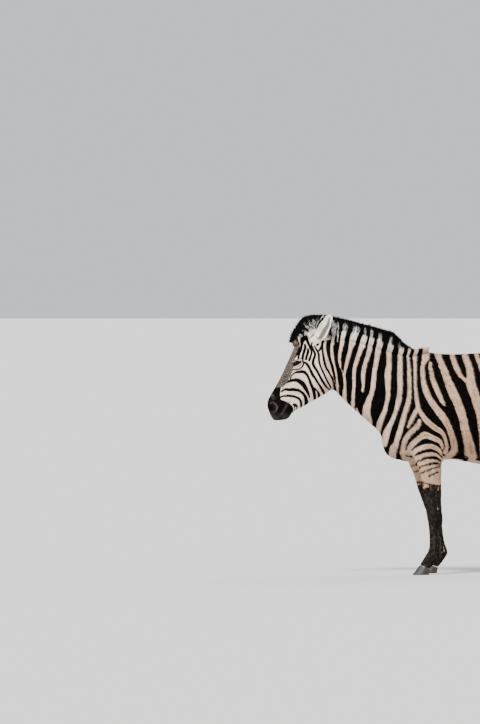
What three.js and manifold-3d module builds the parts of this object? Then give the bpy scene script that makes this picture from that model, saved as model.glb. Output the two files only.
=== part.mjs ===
// A plains zebra, standing still, life size: one body of flesh parted by thin cuts into the
// regions a person would name, with separate eyes, hooves, ears, mane and tail hair.
//
// Frame: millimetres, +Z up, floor at Z = 0. The animal faces -Y and its left side is +X.
// The side outline is drawn in the Y-Z plane and every section is a loop across it.

import * as THREE from 'three';
import Module from 'manifold-3d';
import { mergeVertices } from 'three/addons/utils/BufferGeometryUtils.js';

const wasm = await Module();
wasm.setup();

// ---------------------------------------------------------------- driving dimensions

const GAP = 0.3; // clearance between neighbouring pieces
const HAIR_GAP = 0.8; // clearance between the flesh and the pieces that grow out of it

const FACE_TILT = THREE.MathUtils.degToRad(63); // slope of the face line below level
const FOREHEAD = [-908, 1354]; // where the face line meets the roots of the forelock

const EYE_RADIUS = 23;
const EYE = { along: 117, in: -47, side: 72 }; // centre: down the face, into the head, sideways

const NOSTRIL = { along: 392, in: -44, side: 60, radii: [20, 10, 22], tilt: -0.35 };

const EAR_WIDTH = 78;
const EAR_THICKNESS = 5;
const EAR_ROOT = [60, -802, 1349];
const EAR_TIP = [82, -718, 1521];

const HOOF_LENGTH = 104;
const HOOF_HEIGHT = 56;
const HOOF_HALF_WIDTH = 43;

const FORE_STANCE = 122; // hoof centre to the middle plane
const HIND_STANCE = 126;

const FORE_CUT = 628; // level where a foreleg parts from the trunk
const HIND_CUT = 682;
const SHOULDER_CUT = 24; // Y of the cut behind the shoulders
const LOIN_CUT = 470; // Y of the cut in front of the haunches

// ---------------------------------------------------------------- section loops

const signedPower = (value, power) => Math.sign(value) * Math.abs(value) ** power;

// Half width at fraction t of the depth, through the widths at the top, middle and bottom.
const widthAt = ([top, middle, bottom], t) =>
  top * (1 - t) * (1 - 2 * t) + middle * 4 * t * (1 - t) + bottom * t * (2 * t - 1);

// One station is [ay, az, by, bz, half widths at a, middle, b, x of its middle].
// Its loop runs from point a to point b and back, in the plane of a, b and the X axis.
function sectionLoop(station, sides, roundness, grow) {
  const [ay, az, by, bz, wa, wm, wb, x] = station;
  const depth = Math.hypot(by - ay, bz - az) || 1;
  const uy = (by - ay) / depth;
  const uz = (bz - az) / depth;
  const loop = [];
  for (let i = 0; i < sides; i += 1) {
    const angle = (2 * Math.PI * i) / sides;
    const t = (1 - signedPower(Math.cos(angle), roundness)) / 2;
    const across = widthAt([wa + grow, wm + grow, wb + grow], t);
    const along = -grow + (depth + 2 * grow) * t;
    loop.push([
      x + across * signedPower(Math.sin(angle), roundness),
      ay + uy * along,
      az + uz * along,
    ]);
  }
  return loop;
}

// A smooth run of values through p1 and p2, with p0 and p3 as their neighbours.
const blend = (p0, p1, p2, p3, t) => p1.map((value, i) => {
  const slope1 = (p2[i] - p0[i]) / 2;
  const slope2 = (p3[i] - value) / 2;
  const t2 = t * t;
  const t3 = t2 * t;
  return (2 * t3 - 3 * t2 + 1) * value + (t3 - 2 * t2 + t) * slope1
    + (3 * t2 - 2 * t3) * p2[i] + (t3 - t2) * slope2;
});

function refine(stations, steps) {
  const rows = [];
  for (let i = 0; i < stations.length - 1; i += 1) {
    const before = stations[Math.max(i - 1, 0)];
    const after = stations[Math.min(i + 2, stations.length - 1)];
    for (let k = 0; k < steps; k += 1) {
      rows.push(blend(before, stations[i], stations[i + 1], after, k / steps));
    }
  }
  rows.push(stations[stations.length - 1]);
  return rows;
}

const middleOf = (loop) => [0, 1, 2].map((k) => loop.reduce((sum, p) => sum + p[k], 0) / loop.length);

// The end loop pushed away from the one beside it.
function pushedOut(end, beside, distance) {
  const away = new THREE.Vector3(...middleOf(end)).sub(new THREE.Vector3(...middleOf(beside)));
  away.setLength(distance);
  return end.map(([x, y, z]) => [x + away.x, y + away.y, z + away.z]);
}

// Skins a row of loops with equal point counts, and closes both ends on their middles.
function loftLoops(loops) {
  const sides = loops[0].length;
  const positions = loops.flat(2);
  const index = [];
  for (let r = 0; r < loops.length - 1; r += 1) {
    for (let i = 0; i < sides; i += 1) {
      const j = (i + 1) % sides;
      const a = r * sides + i;
      const b = r * sides + j;
      index.push(a, b, a + sides, b, b + sides, a + sides);
    }
  }
  const first = positions.length / 3;
  positions.push(...middleOf(loops[0]), ...middleOf(loops[loops.length - 1]));
  const lastRing = (loops.length - 1) * sides;
  for (let i = 0; i < sides; i += 1) {
    const j = (i + 1) % sides;
    index.push(first, j, i);
    index.push(first + 1, lastRing + i, lastRing + j);
  }
  const geometry = new THREE.BufferGeometry();
  geometry.setAttribute('position', new THREE.Float32BufferAttribute(positions, 3));
  geometry.setIndex(index);
  return geometry;
}

// ---------------------------------------------------------------- solids

function solidOf(geometry) {
  const bare = geometry.clone();
  bare.deleteAttribute('normal');
  bare.deleteAttribute('uv');
  const merged = mergeVertices(bare, 1e-3);
  const triVerts = new Uint32Array(merged.index.array);
  const mesh = new wasm.Mesh({
    numProp: 3,
    vertProperties: new Float32Array(merged.attributes.position.array),
    triVerts,
  });
  const solid = new wasm.Manifold(mesh);
  if (solid.volume() > 0) return solid;
  for (let i = 0; i < triVerts.length; i += 3) {
    [triVerts[i], triVerts[i + 1]] = [triVerts[i + 1], triVerts[i]];
  }
  return new wasm.Manifold(new wasm.Mesh({
    numProp: 3,
    vertProperties: new Float32Array(merged.attributes.position.array),
    triVerts,
  }));
}

function geometryOf(solid) {
  const mesh = solid.getMesh();
  const geometry = new THREE.BufferGeometry();
  const positions = [];
  for (let i = 0; i < mesh.numVert; i += 1) {
    positions.push(...mesh.vertProperties.slice(i * mesh.numProp, i * mesh.numProp + 3));
  }
  geometry.setAttribute('position', new THREE.Float32BufferAttribute(positions, 3));
  geometry.setIndex([...mesh.triVerts]);
  return geometry;
}

function loft(stations, { sides, steps = 1, roundness = 0.85, grow = 0 }) {
  const rows = refine(stations, steps);
  const loops = rows.map((station) => sectionLoop(station, sides, roundness, grow));
  if (grow > 0) {
    const last = loops.length - 1;
    loops[0] = pushedOut(loops[0], loops[1], grow);
    loops[last] = pushedOut(loops[last], loops[last - 1], grow);
  }
  return solidOf(loftLoops(loops));
}

function ellipsoid(centre, radii, tilt = 0, grow = 0, across = 12) {
  const shape = new THREE.SphereGeometry(1, across, across / 2);
  shape.scale(...radii.map((radius) => radius + grow));
  shape.rotateX(tilt);
  shape.translate(...centre);
  return solidOf(shape);
}

const joined = (solids) => solids.reduce((sum, solid) => sum.add(solid));

// ---------------------------------------------------------------- the head's own frame

// A point so far down the face line and so far out of it (negative is into the head).
const onHead = (down, out) => [
  FOREHEAD[0] - Math.cos(FACE_TILT) * down - Math.sin(FACE_TILT) * out,
  FOREHEAD[1] - Math.sin(FACE_TILT) * down + Math.cos(FACE_TILT) * out,
];
// The turn that lays a shape's -Z axis down the face line.
const HEAD_TURN = FACE_TILT - Math.PI / 2;

// Down the face: profile, underline, then half widths at the bridge, cheek and jaw.
const HEAD_SECTIONS = [
  [-112, -112, -186, 18, 30, 20],
  [-78, -56, -252, 50, 58, 38],
  [-40, -18, -304, 68, 78, 54],
  [0, 0, -324, 76, 86, 62],
  [40, 2, -328, 79, 89, 66],
  [80, 0, -328, 77, 89, 68],
  [120, -2, -322, 68, 86, 68],
  [155, -3, -310, 58, 80, 65],
  [190, -4, -291, 51, 72, 59],
  [225, -5, -268, 46, 64, 52],
  [260, -4, -243, 42, 58, 46],
  [300, -2, -218, 39, 52, 41],
  [340, 1, -190, 38, 49, 38],
  [366, 1, -170, 41, 51, 38],
  [388, -3, -164, 50, 57, 40],
  [410, -14, -164, 55, 59, 41],
  [430, -33, -150, 49, 54, 37],
  [446, -51, -128, 36, 42, 30],
  [457, -66, -108, 26, 30, 20],
  [464, -80, -98, 13, 16, 10],
];

const headStation = ([down, top, bottom, ...widths]) => [
  ...onHead(down, top), ...onHead(down, bottom), ...widths, 0,
];

// A nostril's opening: a slanted hollow in the side of the muzzle.
const nostril = (side) => ellipsoid(
  [side * NOSTRIL.side, ...onHead(NOSTRIL.along, NOSTRIL.in)], NOSTRIL.radii, NOSTRIL.tilt,
);

function headMass(grow) {
  const skull = loft(HEAD_SECTIONS.map(headStation), { sides: 18, roundness: 0.82, grow });
  const brow = onHead(100, -58);
  const cheek = onHead(112, -208);
  const sides = [];
  for (const side of [1, -1]) {
    sides.push(ellipsoid([side * 50, ...brow], [40, 35, 56], HEAD_TURN, grow));
    sides.push(ellipsoid([side * 28, ...cheek], [60, 92, 96], HEAD_TURN, grow));
  }
  return joined([skull, ...sides]);
}

// ---------------------------------------------------------------- neck and trunk

// From the poll to the shoulder: crest, underline, half widths at crest, middle, throat.
const NECK_SECTIONS = [
  [-790, 1330, -750, 1130, 36, 58, 46, 0],
  [-709, 1388, -679, 1068, 42, 79, 66, 0],
  [-591, 1386, -620, 1008, 42, 86, 72, 0],
  [-473, 1354, -543, 938, 46, 99, 82, 0],
  [-354, 1311, -473, 877, 54, 120, 96, 0],
  [-248, 1290, -419, 826, 64, 146, 112, 0],
  [-160, 1288, -366, 740, 74, 164, 122, 0],
  [-60, 1240, -250, 740, 70, 150, 110, 0],
];

// From the breast to the buttocks: topline, belly line, half widths at spine, ribs, belly.
const TRUNK_SECTIONS = [
  [-400, 930, -398, 770, 60, 84, 66, 0],
  [-382, 1040, -384, 712, 84, 126, 104, 0],
  [-340, 1150, -350, 678, 96, 156, 126, 0],
  [-275, 1240, -285, 662, 100, 178, 136, 0],
  [-205, 1286, -210, 648, 100, 190, 138, 0],
  [-136, 1302, -136, 648, 104, 204, 142, 0],
  [-60, 1291, -60, 664, 128, 222, 160, 0],
  [20, 1289, 20, 668, 152, 240, 184, 0],
  [110, 1291, 110, 652, 176, 256, 206, 0],
  [200, 1296, 200, 635, 192, 266, 220, 0],
  [300, 1300, 300, 632, 200, 268, 222, 0],
  [390, 1305, 390, 650, 204, 260, 208, 0],
  [480, 1311, 480, 688, 206, 246, 194, 0],
  [560, 1314, 560, 734, 208, 238, 190, 0],
  [640, 1312, 640, 774, 206, 238, 196, 0],
  [720, 1300, 720, 806, 196, 236, 198, 0],
  [790, 1277, 790, 834, 178, 226, 194, 0],
  [850, 1243, 850, 866, 150, 202, 174, 0],
  [900, 1201, 900, 906, 114, 162, 136, 0],
  [934, 1156, 934, 960, 74, 108, 80, 0],
  [951, 1106, 951, 1024, 34, 48, 36, 0],
];

function shoulderMass(side) {
  const arm = ellipsoid([side * 78, -250, 850], [104, 140, 170], 0.3);
  const elbow = ellipsoid([side * 112, -112, 770], [78, 104, 150], -0.3);
  return arm.add(elbow);
}

function haunchMass(side) {
  const thigh = ellipsoid([side * 104, 734, 930], [140, 186, 250], -0.2);
  const stifle = ellipsoid([side * 108, 652, 820], [112, 100, 140], -0.3);
  return thigh.add(stifle);
}

// ---------------------------------------------------------------- legs

// Down the leg: front edge, back edge, half widths at front, middle, back, side offset.
const FORELEG_SECTIONS = [
  [-240, 840, -60, 840, 50, 56, 50, 112],
  [-252, 730, -46, 740, 52, 64, 54, 124],
  [-238, 676, -60, 692, 46, 60, 50, 127],
  [-221, 632, -69, 640, 40, 54, 44, 127],
  [-201, 590, -70, 592, 30, 47, 33, 126],
  [-190, 545, -71, 545, 27, 41, 28, 125],
  [-183, 490, -68, 490, 24, 36, 24, 124],
  [-174, 432, -70, 432, 25, 35, 22, 123],
  [-168, 390, -66, 390, 31, 41, 26, 123],
  [-163, 356, -66, 352, 32, 42, 28, 123],
  [-156, 318, -74, 314, 26, 36, 24, 123],
  [-149, 276, -87, 276, 18, 27, 20, 122],
  [-146, 230, -92, 230, 16, 25, 18, 122],
  [-145, 180, -92, 180, 17, 26, 18, 122],
  [-148, 152, -83, 150, 21, 30, 21, 122],
  [-156, 132, -77, 118, 24, 34, 24, 122],
  [-172, 108, -94, 88, 22, 31, 23, 122],
  [-190, 80, -120, 52, 21, 30, 22, 122],
  [-202, 56.3, -137, 32.3, 25, 36, 27, 122],
];

const HINDLEG_SECTIONS = [
  [600, 1000, 900, 1020, 80, 90, 70, 124],
  [566, 900, 934, 940, 84, 98, 72, 130],
  [556, 800, 912, 840, 72, 90, 60, 134],
  [580, 712, 884, 740, 54, 72, 46, 134],
  [622, 650, 868, 660, 40, 56, 32, 132],
  [684, 592, 878, 606, 27, 43, 20, 129],
  [748, 545, 908, 566, 24, 38, 18, 127],
  [790, 505, 912, 530, 27, 40, 20, 126],
  [818, 455, 900, 478, 25, 38, 20, 126],
  [828, 400, 892, 410, 19, 31, 18, 126],
  [832, 330, 890, 330, 16, 26, 18, 126],
  [834, 250, 889, 250, 16, 25, 18, 126],
  [834, 195, 892, 195, 17, 27, 18, 126],
  [831, 164, 901, 160, 21, 31, 21, 126],
  [823, 142, 906, 128, 24, 34, 24, 126],
  [808, 112, 890, 96, 22, 31, 23, 126],
  [791, 82, 864, 58, 21, 29, 22, 126],
  [780, 56.3, 845, 32.3, 25, 35, 27, 126],
];

// How far back a leg's lower joints stand, eased in between two levels.
const lean = (sections, shift, high, low) => sections.map(([ay, az, by, bz, ...rest]) => {
  const at = (z) => shift * THREE.MathUtils.smoothstep(high - z, 0, high - low);
  return [ay + at(az), az, by + at(bz), bz, ...rest];
});
const onSide = (sections, side) => sections.map((row) => [...row.slice(0, 7), row[7] * side]);

const LEGS = [
  { name: 'fore', side: 1, shift: 0, toe: -246, cuts: [404, 158], words: ['forearm', 'cannon'] },
  { name: 'fore', side: -1, shift: 88, toe: -246, cuts: [404, 158], words: ['forearm', 'cannon'] },
  { name: 'hind', side: 1, shift: 0, toe: 736, cuts: [588, 172], words: ['gaskin', 'cannon'] },
  { name: 'hind', side: -1, shift: -104, toe: 736, cuts: [588, 172], words: ['gaskin', 'cannon'] },
];
const LEAN_TOP = { fore: 600, hind: 760 };
const LEAN_FOOT = { fore: 110, hind: 160 };
const LEG_SECTIONS = { fore: FORELEG_SECTIONS, hind: HINDLEG_SECTIONS };
const STANCE = { fore: FORE_STANCE, hind: HIND_STANCE };

const legMass = ({ name, side, shift }) => loft(
  onSide(lean(LEG_SECTIONS[name], shift, LEAN_TOP[name], LEAN_FOOT[name]), side),
  { sides: 12, roundness: 0.9 },
);

// A hoof: a flat sole, a sloped front wall and lower heels, under a slanted coronet.
function hoof({ name, side, shift, toe }) {
  const heel = toe + HOOF_LENGTH;
  const half = HOOF_HALF_WIDTH;
  const x = side * STANCE[name];
  const level = (front, height, back, backHeight, scale) => [
    toe + shift + front, height, heel + shift + back, backHeight,
    half * 0.62 * scale, half * scale, half * 0.7 * scale, x,
  ];
  return loft([
    level(0, 0, 0, 0, 1),
    level(6, 7, -1, 3, 0.985),
    level(24, 30, 2, 16, 0.92),
    level(41, HOOF_HEIGHT - 5, 5, 29, 0.86),
    level(44, HOOF_HEIGHT, 5, 32, 0.83),
  ], { sides: 12, roundness: 0.86 });
}

// ---------------------------------------------------------------- ears, eyes

// Half the ear's width at a fraction of its length: a short stalk, a full leaf, a blunt point.
const earHalfWidth = (u) => (EAR_WIDTH / 2)
  * (0.55 + 0.45 * Math.sin(Math.PI * Math.min(u * 1.05, 0.5)))
  * Math.sqrt(Math.max(1 - u ** 3.2, 0.004));
const earCup = (u) => 6 + 22 * (1 - u) ** 0.8;

function ear(side) {
  const rings = 9;
  const half = 6;
  const openFrom = 0.16;
  const root = new THREE.Vector3(...EAR_ROOT);
  const tip = new THREE.Vector3(...EAR_TIP);
  const up = tip.clone().sub(root).normalize();
  const length = root.distanceTo(tip);
  const opening = new THREE.Vector3(0.86, -0.5, 0).normalize();
  const wide = new THREE.Vector3().crossVectors(up, opening).normalize();
  const out = new THREE.Vector3().crossVectors(wide, up).normalize();
  const loops = [];
  for (let r = 0; r <= rings; r += 1) {
    const u = r / rings;
    const base = root.clone().addScaledVector(up, u * length);
    const width = earHalfWidth(u);
    const cup = earCup(u);
    const hollow = THREE.MathUtils.smoothstep(u, openFrom, openFrom + 0.22);
    const place = (angle, w, depth) => {
      const point = base.clone().addScaledVector(wide, w * Math.sin(angle));
      point.addScaledVector(out, -depth * Math.cos(angle));
      return [side * point.x, point.y, point.z];
    };
    const loop = [];
    for (let i = 0; i <= half; i += 1) {
      loop.push(place(THREE.MathUtils.lerp(-1.75, 1.75, i / half), width, cup));
    }
    const innerWidth = Math.max(width - EAR_THICKNESS, width * 0.5);
    const innerCup = THREE.MathUtils.lerp(-cup * 0.4, Math.max(cup - EAR_THICKNESS, 1), hollow);
    for (let i = half; i >= 0; i -= 1) {
      loop.push(place(THREE.MathUtils.lerp(-1.7, 1.7, i / half), innerWidth, innerCup));
    }
    loops.push(loop);
  }
  return solidOf(loftLoops(loops));
}

const eyeball = (side, grow = 0) => ellipsoid(
  [side * EYE.side, ...onHead(EYE.along, EYE.in)],
  [EYE_RADIUS, EYE_RADIUS, EYE_RADIUS], 0, grow, 12,
);

// ---------------------------------------------------------------- mane and tail

// Tip of the hair, its root under the crest, then half thickness at tip, middle and root.
const MANE_SECTIONS = [
  [-952, 1352, -925, 1345, 6, 12, 10, 0],
  [-948, 1386, -890, 1345, 10, 24, 22, 0],
  [-930, 1428, -866, 1352, 12, 29, 27, 0],
  [-900, 1470, -838, 1352, 13, 32, 30, 0],
  [-872, 1504, -806, 1352, 13, 31, 30, 0],
  [-824, 1518, -772, 1350, 12, 28, 28, 0],
  [-730, 1516, -690, 1350, 10, 23, 25, 0],
  [-620, 1494, -590, 1345, 10, 21, 24, 0],
  [-532, 1470, -515, 1330, 10, 21, 24, 0],
  [-450, 1450, -446, 1312, 10, 21, 24, 0],
  [-384, 1430, -386, 1290, 10, 20, 24, 0],
  [-340, 1420, -340, 1272, 9, 19, 23, 0],
  [-306, 1390, -302, 1262, 9, 18, 22, 0],
  [-268, 1350, -262, 1252, 8, 16, 20, 0],
  [-214, 1316, -212, 1256, 7, 14, 18, 0],
  [-150, 1307, -150, 1270, 4, 10, 14, 0],
];

// Down the tail: back, front, half widths.
const DOCK_SECTIONS = [
  [900, 1196, 880, 1150, 12, 20, 14, 0],
  [948, 1172, 922, 1128, 13, 22, 15, 0],
  [990, 1124, 950, 1100, 13, 22, 15, 0],
  [1010, 1050, 966, 1044, 12, 20, 14, 0],
  [1014, 960, 974, 958, 11, 18, 13, 0],
  [1013, 880, 976, 880, 11, 18, 13, 0],
];
const TUFT_SECTIONS = [
  [1014, 879, 975, 879, 12, 19, 14, 0],
  [1020, 820, 970, 820, 17, 27, 19, 0],
  [1024, 740, 964, 740, 22, 34, 24, 0],
  [1022, 650, 960, 650, 24, 36, 26, 0],
  [1014, 560, 960, 560, 20, 30, 22, 0],
  [1004, 490, 964, 492, 11, 18, 13, 0],
  [994, 448, 976, 450, 4, 7, 5, 0],
];

// ---------------------------------------------------------------- cutting the body

const REACH = 3000; // larger than the animal either way

// All that lies on one side of a plane across the body, through a point, facing a direction.
function halfSpace([y, z], [facingY, facingZ]) {
  const box = new THREE.BoxGeometry(REACH, REACH, REACH);
  const angle = Math.atan2(facingZ, facingY);
  box.translate(0, REACH / 2 + GAP / 2, 0);
  box.rotateX(angle);
  box.translate(0, y, z);
  return solidOf(box);
}
const sideSpace = (side) => {
  const box = new THREE.BoxGeometry(REACH, 2 * REACH, 2 * REACH);
  box.translate(side * (REACH / 2 + GAP), 0, 0);
  return solidOf(box);
};
const within = (solid, ...spaces) => spaces.reduce((rest, space) => rest.intersect(space), solid);

// ---------------------------------------------------------------- the whole animal

const COATS = {
  striped: { color: 0xd9cfc4, roughness: 0.85 },
  dark: { color: 0x26211e, roughness: 0.9 },
  horn: { color: 0x3a332d, roughness: 0.6 },
  eye: { color: 0x0d0a08, roughness: 0.08 },
};

const zebra = new THREE.Group();
function place(name, solid, coat) {
  const geometry = geometryOf(solid);
  const material = new THREE.MeshStandardMaterial({ ...COATS[coat], metalness: 0 });
  const mesh = new THREE.Mesh(geometry, material);
  mesh.name = name;
  zebra.add(mesh);
}

const sideWord = { 1: 'left', '-1': 'right' };

const trunkMass = (grow) => loft(TRUNK_SECTIONS, { sides: 22, roundness: 0.88, grow });
const neckMass = (grow) => loft(NECK_SECTIONS, { sides: 18, steps: 2, roundness: 0.9, grow });
const legMasses = LEGS.map(legMass);
const body = joined([
  trunkMass(0), neckMass(0), headMass(0),
  shoulderMass(1), shoulderMass(-1), haunchMass(1), haunchMass(-1),
  ...legMasses,
]);

const pollCut = { at: [-702, 1160], facing: [1, 0.12] };
const withersCut = { at: [-335, 1060], facing: [1, -0.34] };
const back = ([y, z]) => [-y, -z];

const headSide = halfSpace(pollCut.at, back(pollCut.facing));
const neckSpaces = [
  halfSpace(pollCut.at, pollCut.facing),
  halfSpace(withersCut.at, back(withersCut.facing)),
];
const hollows = joined([eyeball(1, GAP), eyeball(-1, GAP), nostril(1), nostril(-1)]);
place('head', within(body, headSide).subtract(hollows), 'striped');
place('neck', within(body, ...neckSpaces), 'striped');

const aboveFore = halfSpace([0, FORE_CUT], [0, 1]);
const belowFore = halfSpace([0, FORE_CUT], [0, -1]);
const aboveHind = halfSpace([0, HIND_CUT], [0, 1]);
const belowHind = halfSpace([0, HIND_CUT], [0, -1]);
const behindShoulder = halfSpace([SHOULDER_CUT, 0], [1, 0]);
const beforeShoulder = halfSpace([SHOULDER_CUT, 0], [-1, 0]);
const behindLoin = halfSpace([LOIN_CUT, 0], [1, 0]);
const beforeLoin = halfSpace([LOIN_CUT, 0], [-1, 0]);

const trunkSide = halfSpace(withersCut.at, withersCut.facing);
place('forequarters', within(body, trunkSide, beforeShoulder, aboveFore), 'striped');
place('barrel', within(body, behindShoulder, beforeLoin), 'striped');
place('hindquarters', within(body, behindLoin, aboveHind), 'striped');

for (const leg of LEGS) {
  const word = sideWord[leg.side];
  const [upperWord, lowerWord] = leg.words;
  const [upperCut, pasternCut] = leg.cuts;
  const top = leg.name === 'fore' ? [belowFore, beforeShoulder] : [belowHind, behindLoin];
  const whole = within(body, ...top, sideSpace(leg.side));
  const below = (level) => halfSpace([0, level], [0, -1]);
  const above = (level) => halfSpace([0, level], [0, 1]);
  place(`${upperWord}_${word}`, within(whole, above(upperCut)), 'striped');
  place(
    `${leg.name}_${lowerWord}_${word}`,
    within(whole, below(upperCut), above(pasternCut)),
    'dark',
  );
  place(`${leg.name}_pastern_${word}`, within(whole, below(pasternCut)), 'dark');
  place(`${leg.name}_hoof_${word}`, hoof(leg), 'horn');
}

const fleshAround = joined([headMass(HAIR_GAP), neckMass(HAIR_GAP), trunkMass(HAIR_GAP)]);
for (const side of [1, -1]) {
  place(`ear_${sideWord[side]}`, ear(side).subtract(fleshAround), 'striped');
  place(`eye_${sideWord[side]}`, eyeball(side), 'eye');
}

const maneMass = loft(MANE_SECTIONS, { sides: 8, roundness: 0.9 }).subtract(fleshAround);
const betweenEars = [[-806, 1400], [1, -0.5]];
place('forelock', within(maneMass, halfSpace(betweenEars[0], back(betweenEars[1]))), 'dark');
place('mane', within(maneMass, halfSpace(...betweenEars)), 'dark');

const dockMass = loft(DOCK_SECTIONS, { sides: 10, roundness: 1 }).subtract(fleshAround);
place('tail_dock', dockMass, 'striped');
place('tail_tuft', loft(TUFT_SECTIONS, { sides: 10, roundness: 1 }), 'dark');

// The origin is on the floor, under the middle of the animal's length.
const bounds = new THREE.Box3().setFromObject(zebra, true);
zebra.position.y = -(bounds.min.y + bounds.max.y) / 2;

export default zebra;
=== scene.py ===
"""A plains zebra, standing still, life size: one skin with its stripes, the short coat, the mane,
the forelock, the tail's tuft, the eyes and the hooves.

Metres, +Z up, floor at Z = 0. The animal faces -Y and its left side is +X.
"""

import math

import bmesh
import bpy
import numpy as np
from mathutils import Matrix, Vector
from mathutils.bvhtree import BVHTree


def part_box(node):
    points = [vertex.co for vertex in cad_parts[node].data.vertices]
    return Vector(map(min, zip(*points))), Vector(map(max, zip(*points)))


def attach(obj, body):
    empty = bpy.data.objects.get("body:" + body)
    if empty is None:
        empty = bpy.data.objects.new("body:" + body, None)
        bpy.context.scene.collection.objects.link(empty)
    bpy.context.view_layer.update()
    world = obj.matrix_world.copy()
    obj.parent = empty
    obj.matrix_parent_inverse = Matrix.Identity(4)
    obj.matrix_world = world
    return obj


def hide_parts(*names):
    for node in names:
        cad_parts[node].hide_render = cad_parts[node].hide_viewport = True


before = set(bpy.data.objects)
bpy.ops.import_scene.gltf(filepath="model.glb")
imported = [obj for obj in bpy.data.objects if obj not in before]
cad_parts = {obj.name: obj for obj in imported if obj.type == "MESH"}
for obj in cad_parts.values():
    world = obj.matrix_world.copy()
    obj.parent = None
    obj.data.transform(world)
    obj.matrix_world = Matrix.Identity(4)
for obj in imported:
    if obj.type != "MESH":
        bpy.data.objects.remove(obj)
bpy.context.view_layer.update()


# ------------------------------------------------------------------ sizes

MM = 0.001
TURN = math.radians(8)  # how far the chart of the animal's side is turned towards its head
CHART_FROM = 40.0  # the chart is drawn as seen from this far away
CHART_MIDDLE = np.array([-1.200, 1.240])
CHART_HEIGHT = 724  # squares from the chart's top to its bottom
SQUARE = 5.85  # millimetres to a square of the chart, which is a pixel of the camera's view
FLOOR_ROW = 574  # the chart's row at the height of the floor
SHOULDER_COLUMN, SHOULDER_ALONG = 450, 28.5  # a column of the chart, and how far along it is in mm
FORE_STRIDE, HIND_STRIDE = 0.088, -0.104  # how far behind the left feet the right ones stand
HEAD_ENDS = -0.66  # where the finer mesh of the head ends and that of the neck begins
COAT_DEPTH = 3 * MM
FUSE_GROWTH = 1.5 * MM  # how far the solids of the flesh are grown so that they fuse
EAR_GROWTH = 2.6 * MM
VOXEL = 8.5 * MM
SKIN_FACES = 192_000
STRIPE_EDGE = 7.5  # millimetres to each side of a stripe's edge where the mesh stays fine

BODY_NODES = ["head", "neck", "forequarters", "barrel", "hindquarters", "tail_dock"]
LEG_NODES = [
    f"{part}_{side}"
    for side in ("left", "right")
    for part in ("forearm", "fore_cannon", "fore_pastern", "gaskin", "hind_cannon", "hind_pastern")
]
EAR_NODES = ["ear_left", "ear_right"]
EYE_NODES = ["eye_left", "eye_right"]
HOOF_NODES = [
    f"{pair}_hoof_{side}" for pair in ("fore", "hind") for side in ("left", "right")
]


def middle(node):
    low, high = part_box(node)
    return (low + high) / 2


# The head's own frame: metres down the face line and out of it, from the roots of the forelock.
FACE_TILT = math.radians(63)
FACE_COS, FACE_SIN = math.cos(FACE_TILT), math.sin(FACE_TILT)
EYE_DOWN, EYE_OUT = 117 * MM, -47 * MM  # where the eye's centre lies in that frame
EYE = middle("eye_left")
EYE_RADIUS = (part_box("eye_left")[1].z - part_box("eye_left")[0].z) / 2
FOREHEAD_Y = EYE.y + FACE_COS * EYE_DOWN + FACE_SIN * EYE_OUT
FOREHEAD_Z = EYE.z + FACE_SIN * EYE_DOWN - FACE_COS * EYE_OUT


def head_frame(points):
    """How far down the face and out of it each point of an array lies."""
    y, z = points[:, 1] - FOREHEAD_Y, points[:, 2] - FOREHEAD_Z
    return -FACE_COS * y - FACE_SIN * z, -FACE_SIN * y + FACE_COS * z


def eased(value, start, end):
    """0 before start, 1 after end, and a smooth rise between them."""
    t = np.clip((value - start) / (end - start), 0, 1)
    return t * t * (3 - 2 * t)


def blended(value, steps):
    """Takes a value a share of the way to another, step by step."""
    for share, wanted in steps:
        value = value + share * (wanted - value)
    return value


def side_view(points):
    """The place of each point on the side of the animal: (along, height), in millimetres.

    The right legs stand apart from the left ones, and are read as if they stood with them.
    """
    x, y, z = points.T
    fore = FORE_STRIDE * (1 - eased(z, 0.11, 0.6))
    hind = HIND_STRIDE * (1 - eased(z, 0.16, 0.76))
    y = y - np.where(y < 0.3, fore, hind) * eased(-x, 0.0, 0.05)
    along = y * math.cos(TURN) + np.abs(x) * math.sin(TURN)
    nearer = np.abs(x) * math.cos(TURN) - y * math.sin(TURN)
    spread = (CHART_FROM / (CHART_FROM - nearer))[:, None]
    return (CHART_MIDDLE + (np.stack([along, z], axis=1) - CHART_MIDDLE) * spread) / MM


# ------------------------------------------------------------------ mesh tools


def read(items, key, kind=np.float32):
    """One number of each item, such as the area of each face."""
    out = np.empty(len(items), kind)
    items.foreach_get(key, out)
    return out


def read_rows(items, key, width, kind=np.float32):
    """A row of numbers of each item, such as the place of each vertex."""
    out = np.empty(len(items) * width, kind)
    items.foreach_get(key, out)
    return out.reshape(-1, width)


def positions(mesh):
    return read_rows(mesh.vertices, "co", 3).astype(float)


def normals(mesh):
    return read_rows(mesh.vertices, "normal", 3).astype(float)


def face_middles(mesh):
    return read_rows(mesh.polygons, "center", 3).astype(float)


def set_positions(mesh, co):
    mesh.vertices.foreach_set("co", np.ascontiguousarray(co, np.float32).ravel())
    mesh.update()


class Net:
    """The edges of a mesh, for spreading values from vertex to vertex."""

    def __init__(self, mesh):
        pairs = read_rows(mesh.edges, "vertices", 2, np.int32)
        self.a, self.b = pairs[:, 0], pairs[:, 1]
        self.count = len(mesh.vertices)
        self.degree = np.maximum(np.bincount(pairs.ravel(), minlength=self.count), 1)

    def averaged(self, values):
        columns = [
            np.bincount(self.a, column[self.b], self.count)
            + np.bincount(self.b, column[self.a], self.count)
            for column in values.T
        ]
        return np.stack(columns, axis=1) / self.degree[:, None]

    def relaxed(self, values, weight, rounds):
        for _ in range(rounds):
            values = values + weight[:, None] * (self.averaged(values) - values)
        return values


def object_from(mesh, name):
    piece = bpy.data.objects.new(name, mesh)
    bpy.context.scene.collection.objects.link(piece)
    return piece


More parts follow.
